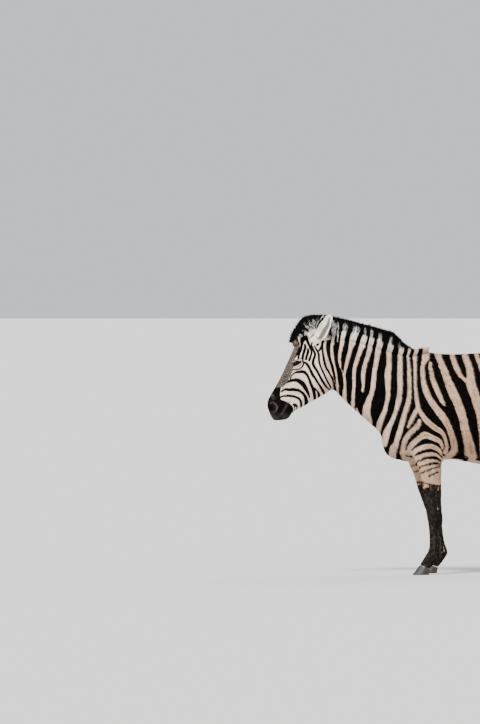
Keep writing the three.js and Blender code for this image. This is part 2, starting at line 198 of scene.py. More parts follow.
def from_bmesh(bm, name):
    mesh = bpy.data.meshes.new(name)
    bm.to_mesh(mesh)
    bm.free()
    return object_from(mesh, name)


def add_solid(bm, node, growth, spread=None):
    """Adds a merged copy of a CAD node to a bmesh, grown along its normals."""
    part = bmesh.new()
    part.from_mesh(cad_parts[node].data)
    bmesh.ops.remove_doubles(part, verts=part.verts, dist=1e-5)
    bmesh.ops.recalc_face_normals(part, faces=part.faces)
    part.normal_update()
    moves = [vert.normal * growth for vert in part.verts]
    for vert, move in zip(part.verts, moves):
        vert.co += move
    if spread:
        bmesh.ops.transform(part, matrix=spread, verts=part.verts)
    mesh = bpy.data.meshes.new(node)
    part.to_mesh(mesh)
    part.free()
    bm.from_mesh(mesh)
    bpy.data.meshes.remove(mesh)


def applied(piece):
    """Turns a piece's modifiers into its mesh."""
    graph = bpy.context.evaluated_depsgraph_get()
    mesh = bpy.data.meshes.new_from_object(piece.evaluated_get(graph))
    piece.modifiers.clear()
    old = piece.data
    piece.data = mesh
    bpy.data.meshes.remove(old)


def smooth_shaded(piece):
    piece.data.polygons.foreach_set("use_smooth", np.ones(len(piece.data.polygons), bool))


def point_values(mesh, name, values):
    """Stores one number for each vertex, for a material to read."""
    attribute = mesh.attributes.new(name, "FLOAT", "POINT")
    attribute.data.foreach_set("value", np.ascontiguousarray(values, np.float32))


# ------------------------------------------------------------------ the skin's shape


def fused_flesh():
    """The solids of the flesh fused into one closed surface."""
    bm = bmesh.new()
    for node in BODY_NODES + LEG_NODES + EYE_NODES:
        add_solid(bm, node, FUSE_GROWTH)
    for node in EAR_NODES:
        add_solid(bm, node, EAR_GROWTH, ear_spread(node))
    skin = from_bmesh(bm, "skin")
    fuse = skin.modifiers.new("fuse", "REMESH")
    fuse.mode = "VOXEL"
    fuse.voxel_size = VOXEL
    applied(skin)
    return skin


EAR_ROOT = np.array([60, -773, 1349]) * MM
EAR_TIP = np.array([82, -689, 1521]) * MM
EAR_LENGTH = float(np.linalg.norm(EAR_TIP - EAR_ROOT))


def ear_axes(side):
    """The axes of an ear: up to its tip, across it towards the back, and out of its opening."""
    along = (EAR_TIP - EAR_ROOT) / EAR_LENGTH
    opening = np.array([0.86, -0.5, 0.1])
    opening -= along * (opening @ along)
    opening /= np.linalg.norm(opening)
    across = np.cross(along, opening)
    axes = np.array([along, across if across[1] > 0 else -across, opening])
    return axes * [side, 1, 1]


def ear_places(points, side):
    return (points - EAR_ROOT * [side, 1, 1]) @ ear_axes(side).T


def ear_spread(node):
    """Widens an ear a little about its middle line, as its thin rims wear away in the fusing."""
    side = 1 if node.endswith("left") else -1
    axes = Matrix([Vector(axis) for axis in ear_axes(side)]).to_4x4()
    root = Matrix.Translation(Vector(EAR_ROOT * [side, 1, 1]))
    widen = Matrix.Diagonal((1.02, 1.05, 1.1, 1))
    return root @ axes.inverted() @ widen @ axes @ root.inverted()


def ear_share(points):
    """1 on the ears, 0 on the rest of the head."""
    low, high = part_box("ear_left")
    x = np.abs(points[:, 0])
    inside = (x > low.x - 0.008) & (x < high.x + 0.008)
    inside &= (points[:, 1] > low.y - 0.008) & (points[:, 1] < high.y + 0.008)
    return inside * eased(points[:, 2], low.z + 0.022, low.z + 0.045)


def softness(points):
    """How far, in metres, the solids' facets are smoothed at each point."""
    down, out = head_frame(points)
    y, z = points[:, 1], points[:, 2]
    on_leg = 1 - eased(z, 0.62, 0.74)
    on_head = 1 - eased(y, -0.76, HEAD_ENDS)
    near_brow = 1 - eased(np.hypot(down - 0.1, out + 0.06), 0.05, 0.1)
    trunk = np.full(len(points), 0.026)
    return blended(trunk, [
        ((1 - eased(y, -0.45, -0.2)) * (1 - on_leg), 0.018),  # neck
        (on_leg, 0.0075),
        (on_head, 0.0105),
        (on_head * near_brow, 0.014),
        (on_head * eased(down, 0.33, 0.38), 0.006),  # muzzle
        (ear_share(points), 0.004),
        (eased(y, 0.955, 0.985), 0.006),  # tail
    ])


def smooth_facets(skin):
    """Smooths the facets away, gives back the volume that costs, and sinks the skin by the coat."""
    mesh = skin.data
    net = Net(mesh)
    rounds = 40
    start = positions(mesh)
    spacing = np.where(on_fine_part(start), VOXEL / 2, VOXEL)
    weight = np.clip(2 * (softness(start) / spacing) ** 2 / rounds, 0, 0.95)
    soft = net.relaxed(start, weight, rounds)
    lost = net.relaxed(soft - start, np.full(len(start), 0.9), 24)
    ear = ear_share(start)[:, None]
    set_positions(mesh, soft - lost * (1 - ear))
    sink = FUSE_GROWTH + COAT_DEPTH + (EAR_GROWTH - FUSE_GROWTH - COAT_DEPTH) * ear
    set_positions(mesh, positions(mesh) - normals(mesh) * sink)


def on_fine_part(points):
    """Which points lie on the head and ears, whose mesh is finer."""
    return points[:, 1] < HEAD_ENDS


def refined(skin, chosen):
    """Cuts each face whose middle is chosen into four."""
    mesh = skin.data
    picked = chosen(face_middles(mesh))
    bm = bmesh.new()
    bm.from_mesh(mesh)
    bm.faces.ensure_lookup_table()
    edges = {edge for i in np.flatnonzero(picked) for edge in bm.faces[i].edges}
    bmesh.ops.subdivide_edges(bm, edges=list(edges), cuts=1, use_grid_fill=True)
    bm.to_mesh(mesh)
    bm.free()


def thinned(skin, stripe, target):
    """Fewer faces in the middle of the body's stripes, and all of them along the stripes' edges."""
    mesh = skin.data
    co = positions(mesh)
    mesh.calc_loop_triangles()
    away_from_edges = (np.abs(stripe) > STRIPE_EDGE) | (co[:, 2] < 0.46)
    plain = (co[:, 1] > HEAD_ENDS) & away_from_edges & (co[:, 2] > 0.17)
    group = skin.vertex_groups.new(name="plain")
    group.add([int(i) for i in np.flatnonzero(plain)], 1.0, "REPLACE")
    thin = skin.modifiers.new("thin", "DECIMATE")
    thin.vertex_group = "plain"
    thin.ratio = target / len(mesh.loop_triangles)
    thin.use_collapse_triangulate = True
    applied(skin)
    skin.vertex_groups.clear()


# ------------------------------------------------------------------ the stripes

# These strokes are placed on the chart of the animal's side, with the head on its left. Each runs
# through (across, down, width) points in squares, counted from the chart's top left corner.
HEAD_STRIPES = {  # black, on the pale head
    "temple_to_jaw": [(303.6, 362.2, 1.2), (305.8, 362.8, 1.8), (307.8, 365, 2.2),
        (310.3, 369.3, 2.2), (312.2, 373.6, 2.7), (315, 378, 2.3), (318, 382.5, 2.1),
        (320.5, 386.5, 2.2), (322.6, 390, 2.6), (324.6, 394, 2.2)],
    "temple_hook": [(307, 339.8, 2.4), (308.2, 342.6, 2.2), (309.5, 346, 1.5), (311.2, 350, 1.3),
        (311.6, 352.6, 1.4), (310.6, 356, 1.5), (309.2, 360, 1.7)],
    "cheek_first": [(312.3, 342.4, 0.9), (311.4, 344.4, 1.1), (312.4, 347.6, 1.2),
        (314.5, 352, 1.6), (315, 355, 1.7), (313.9, 358.4, 1.9), (313, 362.6, 2.3), (314, 366, 2.4),
        (317, 370.6, 2.1), (319.6, 375.6, 2.2), (322.3, 380.4, 2.4), (325.4, 385.2, 2),
        (327.6, 387.8, 1.5), (329.7, 389.6, 1.1)],
    "cheek_second": [(314.2, 345.6, 0.9), (316.6, 349.4, 1.2), (318.6, 353.6, 1.5), (319, 359, 1.6),
        (320, 364.6, 1.6), (322.4, 370.2, 1.6), (325, 375.8, 1.5), (327.8, 381.8, 1.5),
        (330.2, 386.2, 1.4), (330.6, 388, 1)],
    "cheek_third": [(323.2, 340.6, 2.2), (322.2, 344, 1.9), (322.4, 348.6, 1.4), (323, 354, 1.6),
        (324.2, 360.6, 1.9), (326, 367, 1.8), (329.4, 372.8, 1.7), (332, 377.8, 1.7),
        (333.3, 382.6, 1.6), (334.2, 387, 2.6), (335, 391, 2.8)],
    "third_fork": [(322, 345, 1.4), (320.6, 347.8, 1.5), (319.3, 350.2, 1.3)],
    "jowl": [(329, 334.6, 1.2), (328.6, 338, 3.4), (328.4, 343, 3.8), (328.2, 348, 3.8),
        (328.9, 354, 3), (330.4, 360, 2.5), (332.2, 366, 2.5), (333.4, 372, 2.3),
        (334.9, 378.4, 1.8), (335.8, 383.4, 1)],
    "ear_mark": [(316.6, 345, 1.1), (317.8, 344.2, 1.5), (318.6, 343.6, 0.9)],
    "under_eye_A": [(290.2, 378.6, 0.8), (292, 375, 1.1), (295, 372.5, 1.6), (299, 371.7, 2.2),
        (303.6, 371.6, 2.9), (306.6, 374, 2.4), (309, 378.6, 2.3), (311, 384, 2.7), (313, 388.6, 3),
        (314.2, 393, 3), (314.8, 399, 2.6), (314.4, 403, 2.4)],
    "A_fork": [(314.6, 387.8, 1.2), (317, 390.4, 1.5), (318.8, 394, 2.4), (319.4, 399, 2.6)],
    "B": [(282.8, 385.2, 1.2), (286, 382.2, 2), (291, 380.5, 2.6), (296, 379.6, 3.4),
        (300.2, 381.4, 4.6), (303.6, 384.6, 4.4), (306.2, 388.8, 3.6), (308.4, 393.6, 2.4),
        (309.6, 397, 1.4)],
    "C": [(281.5, 391.6, 1.3), (284.4, 389.3, 2.3), (290, 389.3, 3), (295.4, 389.4, 3.1),
        (300, 391, 2.5), (303.6, 393.8, 2.7), (305.6, 397.6, 3.2), (306.4, 402, 3.6),
        (305.2, 407, 2.4)],
    "D": [(280, 396.9, 1.4), (284.4, 395.7, 1.9), (290, 395.6, 2.4), (295.6, 396.8, 2.3),
        (299.6, 399.2, 2.2), (301.2, 403, 2.2), (301.2, 406.4, 2), (301.4, 411, 2.4)],
    "below_the_eye": [(291.2, 372.4, 0.8), (292.6, 369.9, 1), (296.6, 369.5, 1.1), (300, 368, 1.2),
        (302.4, 366, 1.6), (303.5, 363.6, 1.3), (303.5, 362.2, 1.2)],
    "lid_fold": [(289.9, 365.8, 0.9), (292.1, 362.4, 1), (297.1, 359.8, 1), (302.6, 358.3, 1)],
    "eye_corner_up": [(303.3, 361.8, 1), (302.8, 359.4, 1.2), (302.6, 357.4, 1.7),
        (303.2, 354.2, 2), (304.3, 350.6, 2.1), (305.3, 347.2, 2.1), (304.8, 344, 1.2)],
    "brow_first": [(308.1, 348.8, 1.4), (308.1, 351.6, 2.1), (306.9, 355.4, 1.8), (306, 359.2, 1.7)],
    "brow_second": [(304.6, 339.4, 1.6), (302.4, 342.2, 2), (301.6, 346, 2), (300.6, 350, 1.8),
        (299.4, 353.6, 1.5), (298.3, 357.6, 1.3)],
    "brow_third": [(298.3, 342, 2.05), (298.1, 346.6, 2.4), (297.9, 351, 2.4), (296.6, 354.4, 1.7),
        (294.6, 357.6, 1.2)],
    "brow_front": [(295.9, 346.5, 1.55), (293.7, 350, 1.9), (292.1, 354, 1.9), (292.7, 357.9, 1.55),
        (291.8, 361.9, 1)],
}
MUZZLE_DARK = {  # black, round the mouth
    "nose": [(277.5, 387.6, 7), (276, 392, 8.6), (275, 398, 11), (275, 405, 16.4), (276.4, 412, 17),
        (281, 417, 14)],
    "lips": [(282, 404.5, 9), (287, 407.6, 10.4), (290, 411, 9), (294.6, 406.4, 6.6)],
    "chin": [(284.4, 416.4, 7.5), (288.9, 414.3, 5.8)],
}
HEAD_PALE = {  # pale, on the black about the eye and the lips
    "lip_band": [(281, 398.8, 1), (285, 398.5, 1.4), (290, 399.3, 1.8), (294.6, 400.4, 2),
        (297.4, 401.4, 1.8), (298.4, 404, 1.4), (298.5, 408.6, 1.2), (299, 413, 1.4)],
    "lip_corner": [(290.8, 403.8, 0.9), (292.4, 405.3, 1), (293.7, 408, 1), (293.6, 411.4, 0.9)],
    "lip_corner_second": [(295.6, 407, 0.9), (295.7, 411.4, 1)],
    "upper_lid": [(290.3, 365, 1), (293, 361.8, 1.1), (297, 360.5, 1), (301, 359.3, 1.4)],
    "lower_lid": [(292.6, 368.1, 0.9), (297.2, 368.3, 0.9), (300.6, 366.4, 1), (302.6, 362.8, 0.9)],
}
NECK_PALE = {  # pale, on the black of the neck, the shoulder and the ribs
    "behind_the_jaw": [(334, 327, 7.9), (333.2, 337.1, 4.1), (332.4, 341.4, 2.9), (331.7, 347, 2.2),
        (331.9, 354, 2.8), (333, 360.4, 2.2), (334.5, 366.2, 1.5), (336, 374, 1.5),
        (337, 381.6, 1.7), (337.2, 389, 1.9), (337.8, 396, 1.6)],
    "wedge": [(338.2, 329, 3.6), (337.2, 335, 2.8), (337.1, 338.6, 1.8), (337.4, 341.4, 0.8)],
    "Y_left": [(345.6, 328, 7), (344, 334, 5.8), (342.4, 340, 4), (341, 346.4, 3.2),
        (339.7, 353, 3), (339.3, 359, 2.7), (339.8, 363.4, 2), (340.9, 367.8, 1.2),
        (342.6, 371.8, 0.9)],
    "Y_right": [(357, 328, 9), (355.2, 334, 8), (353, 340, 6.6), (350.8, 346, 4.2),
        (349.2, 352, 3.5), (347.7, 358, 3.4), (346.2, 364.6, 2.9), (345, 369.6, 2.3),
        (344, 374, 2.6), (344.4, 380, 2.3), (344.8, 385.6, 2.4), (344.3, 391, 3), (344, 398, 4),
        (345, 404, 5)],
    "third": [(364.8, 328, 5), (364.9, 334, 4.7), (363.8, 340.4, 5.3), (361.6, 346.6, 5.3),
        (359.4, 352, 4), (356.8, 359.6, 3.9), (354.9, 366, 3.4), (353.8, 372.6, 3), (353.8, 382, 3),
        (353.4, 391, 2.9), (352.5, 401, 3.2), (352.2, 411, 3)],
    "finger": [(371.6, 330, 5), (371.3, 337, 4.8), (370.2, 344, 4.7), (368.9, 350.6, 4.4),
        (367, 357, 3.8), (365, 363.4, 4), (363.4, 370.4, 4), (362.8, 377, 3.4), (363, 384, 2.5),
        (362.4, 390.2, 2)],
    "throat_drop": [(356.2, 408, 1.2), (357, 410.4, 1.4), (358.6, 414, 1.8)],
    "fifth": [(379.6, 333, 4), (379.1, 340, 5.5), (378.7, 347, 5.7), (377.3, 353.6, 5),
        (376, 360.6, 4.3), (374.4, 370, 4.2), (373.4, 380, 4.5), (372.7, 387.4, 4.2),
        (370.9, 393.6, 4.5), (368.6, 400, 5.4), (366.7, 407, 7), (366, 413, 7.8), (367, 422, 9.4)],
    "sixth": [(391.4, 335, 2.5), (390.1, 343, 4.7), (388.9, 350, 5.6), (388.4, 357, 4.3),
        (388.5, 364, 4.7), (387.6, 373, 5.6), (387.6, 382, 5.1), (387.8, 391, 4.1),
        (386.5, 401.6, 3.6), (384.8, 409.6, 3.9), (381.9, 416.6, 4.8), (379.2, 423.6, 5.4),
        (377.4, 432, 4.6)],
    "seventh": [(399, 342, 2.4), (399.2, 349, 4.4), (399.7, 357.6, 4.1), (399.7, 366, 4.5),
        (399.5, 376, 5), (399.9, 387, 4.7), (398.7, 398, 4.9), (396.2, 408, 4), (393, 417.6, 3.8),
        (389.4, 425.8, 4.6), (386.2, 433, 6.8), (384.6, 443, 5)],
    "eighth": [(406.6, 352, 2.2), (407.7, 358, 2.3), (408.4, 366, 2.7), (408.7, 376, 3.4),
        (409.1, 388, 3.6), (408.7, 397.4, 4.1), (406.6, 406, 4.4), (403.8, 415, 4.4),
        (400.9, 426, 4.7), (397.8, 435.6, 5), (396, 442, 4.9), (393.4, 447.6, 6.8), (391.4, 456, 7)],
    "fork_stem": [(414.5, 355, 4.2), (414.5, 361, 3.3), (414.7, 372, 2.7), (414.9, 383, 2.5),
        (415.5, 393, 3.3), (416.8, 401.6, 3.8), (417.8, 409, 4.6)],
    "fork_left": [(417.6, 408, 4), (414.6, 412.6, 4), (411.6, 418.4, 3.7), (408.8, 424, 3),
        (407.1, 427.2, 1.6)],
    "fork_right": [(418, 408, 3.8), (420.6, 412.8, 3.9), (424.4, 418.5, 5), (429, 423, 5.3),
        (435.4, 427.9, 5.2), (440.6, 431.5, 4.4), (444, 436, 3.3), (445.8, 442, 2.9),
        (446.4, 447.4, 3.6), (445.2, 452, 4.4)],
    "elbow_loop": [(419.4, 419.8, 2.4), (418.2, 423.2, 4.5), (414.2, 428.4, 4.6), (408.6, 434, 4.8),
        (404.8, 440, 4.8), (402.8, 446.6, 4.3), (402.2, 453, 6)],
    "chevron_first": [(408, 453, 5.4), (409.3, 447.8, 4.7), (412.6, 443.2, 5), (417.6, 438.7, 5.5),
        (421.2, 436, 5.8), (424.2, 434.5, 6.2), (428, 435.5, 5.6), (433, 437.8, 5),
        (438.3, 440.2, 4.4), (440.9, 443.2, 3.2), (442.3, 448.6, 1.4)],
    "chevron_second": [(412.6, 456, 2.6), (414.2, 451.4, 4.4), (419, 448.3, 4.7),
        (424.4, 446.3, 4.8), (429, 445.8, 4.8), (434, 447, 4.5), (438.6, 449.8, 3.6),
        (441.6, 454.6, 1.6)],
    "chevron_third": [(412, 461, 5), (416, 457.8, 4.7), (421, 456.1, 4.5), (426, 454.2, 3.9),
        (431, 453.8, 3.8), (436, 455, 3.6), (441, 459, 2.6)],
    "behind_the_withers": [(424.8, 352, 6.6), (425.3, 357, 6.8), (424.4, 360.4, 5.2),
        (422.6, 365, 3.7), (422.2, 373, 3.8), (423.2, 382, 4.6), (425.6, 391, 5.6), (430, 400, 5.6),
        (436, 408.6, 6.2), (442.4, 416.4, 7), (447, 424.4, 6), (450.4, 432.6, 5.6), (453, 441, 5.8),
        (454, 447.4, 6), (452.6, 452, 6.2), (448, 456, 5.2), (441, 460, 4.4)],
    "spindle": [(429.9, 362.6, 2), (429.9, 366.4, 3.4), (430.9, 373, 3.9), (432.6, 380, 4.6),
        (435.4, 387, 4.8), (438.6, 394.2, 4.2), (441.6, 400.6, 3.8), (444, 404.6, 2)],
    "rib_first": [(436.4, 352, 6), (438.8, 359, 5.8), (442.3, 367, 6.2), (445.6, 375.5, 6.8),
        (449.3, 385, 8), (453.6, 394.6, 8.9), (458.2, 405, 8.6), (461.7, 415, 8), (464, 425, 8),
        (466.4, 436, 8.7), (468.8, 446, 10), (470, 456, 12)],
    "rib_second": [(450.3, 352, 4.6), (453, 360, 4.8), (456.4, 368.4, 4.8), (458.8, 373.8, 4.2),
        (462, 377.2, 3), (465.6, 380.6, 3.4)],
    "rib_third": [(462.8, 352, 3.6), (465.6, 359.4, 5.6), (468.6, 367, 6.1), (469.9, 374, 6.8),
        (470.6, 384, 9), (473.6, 393.4, 8.8), (477.2, 403.6, 9.1), (480.4, 414, 9), (482.6, 428, 9),
        (484, 440, 9.6), (485.4, 457, 11)],
    "rib_fourth": [(474.6, 352, 2.8), (477, 358, 4), (480.6, 366, 5), (486, 380, 6.4),
        (491, 395, 7.6), (495, 411, 8.4), (498, 428, 9), (500, 444, 10), (501, 458, 11)],
}
LEG_LINES = {  # black, on the pale ground by the elbow, and made fuller below
    "brisket_line": [(400, 459.3, 0.8), (404.6, 461, 0.8), (409.6, 463.4, 0.9), (415, 465.6, 0.8)],
    "elbow_hook": [(465.5, 456.2, 1), (466.3, 458.4, 2.1), (464.4, 460, 1.6), (460.4, 460.3, 0.6)],
    "arc_first": [(417, 465, 0.8), (416, 462.8, 1), (418, 460.6, 1.1), (422, 458.9, 1.4),
        (426, 457.4, 1.9), (431, 457, 2.2), (436, 457.6, 1.9), (440.4, 459.8, 1)],
    "arc_second": [(418.6, 468, 0.6), (421, 465.9, 0.9), (426, 464.4, 1.1), (431, 463.1, 1.5),
        (436, 462.8, 1.6), (439.6, 463, 1.2)],
    "arc_third": [(420.6, 473, 0.6), (424, 471.2, 0.8), (430, 468.9, 1), (435, 467.4, 1),
        (440, 465.6, 0.9)],
    "arc_fourth": [(429.4, 475.4, 1.3), (431, 474.6, 1), (434, 473.4, 1), (437.6, 471, 1.4)],
    "arc_fifth": [(421, 481.2, 0.7), (426, 482.8, 0.8), (432, 484.4, 0.9), (437.6, 485, 1)],
}
SHADOW_STRIPES = {  # brown, in the middle of pale stripes
    "chevron": [(416, 439.6, 1.4), (424.4, 434.8, 2.6), (430, 436, 1.6), (437, 438.6, 1.4)],
    "chevron_second": [(419, 448, 1.2), (429, 446, 1.4), (434, 447.2, 1.8)],
    "fork_right": [(423, 417, 1.4), (429, 423, 1.8), (434, 426.6, 2.2), (441, 432.4, 1.6)],
    "loop": [(417, 424, 1.4), (410, 432, 1.6), (405, 440, 1.4)],
    "rib_first": [(444.4, 373, 2.2), (447.6, 382, 2), (451, 390, 2.2), (456, 400, 1.6),
        (462, 416, 1.6), (466, 430, 1.8), (469, 442, 2.4), (471.4, 453, 3.6)],
    "rib_third": [(468.6, 377, 2.4), (471, 385, 2.6), (475, 396, 2.2), (478.4, 405, 2.6),
        (481, 414, 2.8), (483, 428, 2.8), (485, 446, 3.4)],
    "behind_the_withers": [(442.6, 417, 1.4), (448, 427, 1.8), (452.4, 438, 1.8), (452.8, 449, 2)],
    "finger_base": [(451, 355, 1.2), (453.6, 361, 1.2)],
    "Y_right": [(352, 342, 1.6), (350.2, 349, 1)],
}
LEG_LINE_GROWTH, LEG_LINE_EXTRA = 1.35, 2.2  # how much fuller, as a share and in mm, they are


def on_chart(strokes, growth=1.0, extra=0.0):
    """The chart's strokes as lists of (along, height, width) points in whole millimetres."""
    return [
        [
            (
                round((across - SHOULDER_COLUMN) * SQUARE + SHOULDER_ALONG),
                round((FLOOR_ROW - down) * SQUARE),
                round(round(width * SQUARE) * growth + extra),
            )
            for across, down, width in stroke
        ]
        for stroke in strokes.values()
    ]


HEAD_BLACK, MUZZLE_BLACK, HEAD_WHITE = map(on_chart, (HEAD_STRIPES, MUZZLE_DARK, HEAD_PALE))
NECK_WHITE, SHADOW = on_chart(NECK_PALE), on_chart(SHADOW_STRIPES)
LEG_BLACK = on_chart(LEG_LINES, LEG_LINE_GROWTH, LEG_LINE_EXTRA)

# The centre of the last black stripe of the cheek, where the head's stripes end.
JOWL = on_chart({"jowl": HEAD_STRIPES["jowl"]})[0]
JAW_LINE = [(-680, 1430), *[point[:2] for point in JOWL[1:]], (-637, 1064), (-635, 900)]

# The other strokes are (along, height, width) points on the side of the animal, in millimetres.
REAR_WHITE = [
    [(262, 1302, 22), (330, 1200, 34), (368, 1090, 46), (388, 980, 52), (400, 870, 54),
     (404, 760, 56), (404, 680, 58)],
    [(370, 1304, 24), (420, 1200, 36), (444, 1090, 46), (458, 980, 52), (466, 870, 54),
     (468, 780, 54), (464, 690, 56)],
    [(480, 1308, 26), (505, 1200, 36), (512, 1090, 42), (514, 980, 44), (514, 870, 42),
     (510, 780, 38), (505, 710, 34)],
    [(590, 1313, 34), (592, 1230, 34), (585, 1140, 24), (580, 1070, 6)],
    [(700, 1304, 36), (690, 1250, 30), (665, 1180, 8)],
    [(560, 690, 30), (558, 780, 36), (572, 870, 42), (600, 960, 46), (645, 1050, 50),
     (705, 1130, 50), (780, 1200, 44), (870, 1232, 36), (960, 1225, 30), (1060, 1200, 24)],
    [(600, 700, 26), (625, 790, 34), (660, 870, 42), (705, 950, 48), (765, 1030, 50),
     (840, 1095, 46), (925, 1120, 40), (1000, 1115, 34), (1070, 1095, 28)],
    [(640, 690, 20), (680, 770, 34), (740, 840, 44), (810, 900, 48), (890, 950, 46),
     (975, 972, 40), (1070, 962, 32)],
    [(660, 670, 22), (720, 735, 36), (790, 790, 42), (870, 840, 44), (960, 862, 38), (1060, 852, 30)],
    [(660, 625, 22), (730, 680, 34), (810, 725, 38), (930, 758, 34), (1040, 752, 30)],
    [(676, 578, 22), (745, 620, 32), (825, 655, 34), (930, 678, 30), (1040, 676, 26)],
    [(905, 1030, 8), (960, 1045, 26), (1070, 1030, 22)],
    [(690, 535, 18), (760, 565, 26), (840, 592, 26), (930, 606, 22), (1040, 606, 20)],
]
REAR_SHADOW = [
    [(384, 1000, 10), (394, 900, 16), (399, 800, 18), (402, 700, 20)],
    [(452, 1010, 10), (462, 900, 16), (464, 800, 18), (462, 720, 18)],
    [(620, 1005, 12), (672, 1092, 16), (740, 1168, 14), (800, 1210, 8)],
    [(700, 940, 10), (765, 1030, 17), (830, 1086, 15), (900, 1116, 10)],
    [(725, 826, 10), (810, 900, 17), (890, 948, 15), (950, 972, 12)],
    [(720, 735, 9), (790, 790, 14), (870, 838, 14), (930, 858, 10)],
]
FORELOCK_WHITE = [
    [(-835, 1478, 5), (-790, 1427, 15)],
    [(-806, 1500, 7), (-773, 1427, 19)],
    [(-777, 1505, 12), (-757, 1430, 24)],
    [(-752, 1503, 13), (-743, 1430, 24)],
    [(-835, 1432, 3), (-822, 1418, 7), (-812, 1412, 4)],
    [(-855, 1402, 8), (-842, 1394, 15), (-830, 1384, 14)],
]
# the dark band inside each ear: partly its dark skin, partly painted shade in the ear's hollow
EAR_SKIN_AND_SHADE = [
    [(-677, 1498, 8), (-686, 1457, 18), (-704, 1427, 24), (-720, 1398, 24), (-733, 1380, 17)],
    [(-779, 1420, 4), (-774, 1408, 6)],
    [(-752, 1386, 6), (-746, 1376, 7)],
]
# painted highlights on the muzzle: on a nostril's rim, along the lips' edge by the mouth, and a patch
# on the nose
MUZZLE_HIGHLIGHTS = [
    [(-1021, 1000, 6), (-1010, 1003, 7), (-995, 995, 7), (-984, 977, 7), (-989, 959, 6),
     (-1007, 945, 5)],
    [(-905, 1009, 7), (-925, 995, 9), (-937, 971, 9), (-948, 954, 8), (-960, 936, 8), (-972, 921, 7),
     (-981, 904, 5)],
    [(-1013, 1053, 12), (-1004, 1032, 16)],
]
NOSTRIL = [(-1010, 993, 9), (-1005, 979, 13), (-1010, 965, 12), (-1024, 955, 6)]
FAR = 40.0  # how far from a stroke's edge its distance is still worked out
FACE_LINE_GAP = 9.2 * MM  # from one fine line of the face to the next
DOCK_FROM, DOCK_BLACK_BELOW = 0.97, 0.93  # the tail's dock is black at its low end
NOSE_BLACK_FROM = 0.288  # how far down the face its stripes end in the black of the nose
STRIPES_TOP = 1.431  # from this height the mane carries the neck's stripes straight up


def curve_through(stroke, step=2.5):
    """Closely spaced (along, height, width) points on a smooth curve through a stroke's points."""
    points = np.array([stroke[0], *stroke, stroke[-1]], float)
    pieces = []
    for a, b, c, d in zip(points, points[1:], points[2:], points[3:]):
        count = max(2, int(np.hypot(*(c - b)[:2]) / step))
        t = (np.arange(count) / count)[:, None]
        pieces.append(
            b + (c - a) * t / 2 + (2 * a - 5 * b + 4 * c - d) * t**2 / 2
            + (3 * b - a - 3 * c + d) * t**3 / 2
        )
    return np.concatenate([*pieces, points[-1:]])


def inside_strokes(places, strokes):
    """How deep, in millimetres, each place is inside the nearest stroke; negative outside."""
    depth = np.full(len(places), -FAR)
    for stroke in strokes:
        line = curve_through(stroke)
        low, high = line[:, :2].min(0) - FAR, line[:, :2].max(0) + FAR
        near = np.flatnonzero(np.all((places > low) & (places < high), axis=1))
        for part in np.array_split(near, max(1, len(near) * len(line) // 4_000_000)):
            gap = places[part][:, None, :] - line[None, :, :2]
            inside = line[:, 2] / 2 - np.sqrt((gap**2).sum(-1))
            depth[part] = np.maximum(depth[part], inside.max(1))
    return depth


def waves(points, size, seed):
    """Smooth random values of about -1 to 1 that change over the given size in metres."""
    random = np.random.default_rng(seed)
    total = np.zeros(len(points))
    for _ in range(6):
        way = random.normal(size=3)
        way /= np.linalg.norm(way)
        total += np.sin(points @ way * (2 * math.pi / size) * random.uniform(0.6, 1.5)
                        + random.uniform(0, 2 * math.pi))
    return total / 2.4


def stripe_values(points):
    """How far inside the pale ground each point is, and how far inside a brown shadow stripe."""
    places = side_view(points)
    # The right side's stripes are those of the left, bent a little, as no animal is symmetrical.
    other = eased(-points[:, 0], 0, 0.09)
    on_face = 1 - eased(points[:, 1], -0.8, -0.66)
    bend = other * (17 - 12 * on_face)
    places[:, 0] += bend * waves(points, 0.42, 11)
    places[:, 1] += bend * waves(points, 0.42, 12)
    fuller = 1.1 + 1.2 * eased(places[:, 1], 1160, 1270)
    head = np.minimum(FAR, -inside_strokes(places, HEAD_BLACK) - fuller)
    down, _ = head_frame(points)
    nose = (NOSE_BLACK_FROM - down) / MM + np.maximum(behind_face(points, down) / MM - 8, 0) * 4
    head = np.minimum(head, np.minimum(nose, -inside_strokes(places, MUZZLE_BLACK)))
    head = np.maximum(head, inside_strokes(places, HEAD_WHITE))
    body = inside_strokes(places, NECK_WHITE + REAR_WHITE)
    body = np.maximum(body, belly_and_legs(points, places))
    body = np.minimum(body, -inside_strokes(places, LEG_BLACK))
    edge, heights = np.array(JAW_LINE)[::-1].T
    ahead = places[:, 0] < np.interp(places[:, 1], heights, edge)
    dock = np.minimum(body, (points[:, 2] - DOCK_BLACK_BELOW) / MM)
    body = np.where(points[:, 1] > DOCK_FROM, dock, body)
    shadow = inside_strokes(places, SHADOW + REAR_SHADOW)
    return np.where(ahead, head, body), shadow


def ear_stripes(points, normal):
    """The ears are pale in front, and banded black behind."""
    inside = np.full(len(points), 12.0)
    for side in (1, -1):
        own = points[:, 0] * side > 0
        along = ear_places(points, side)[:, 0] / EAR_LENGTH
        band = (np.abs(along - 0.66) - 0.17) * EAR_LENGTH / MM
        backwards = own & (normal @ ear_axes(side)[2] < -0.15)
        inside = np.where(backwards, band, inside)
    return inside


def behind_face(points, down):
    """How far each point lies behind the line of the face in profile."""
    dish = -3.5 * MM - 5.5 * MM * np.exp(-(((down - 0.21) / 0.085) ** 2))
    return dish - head_frame(points)[1]


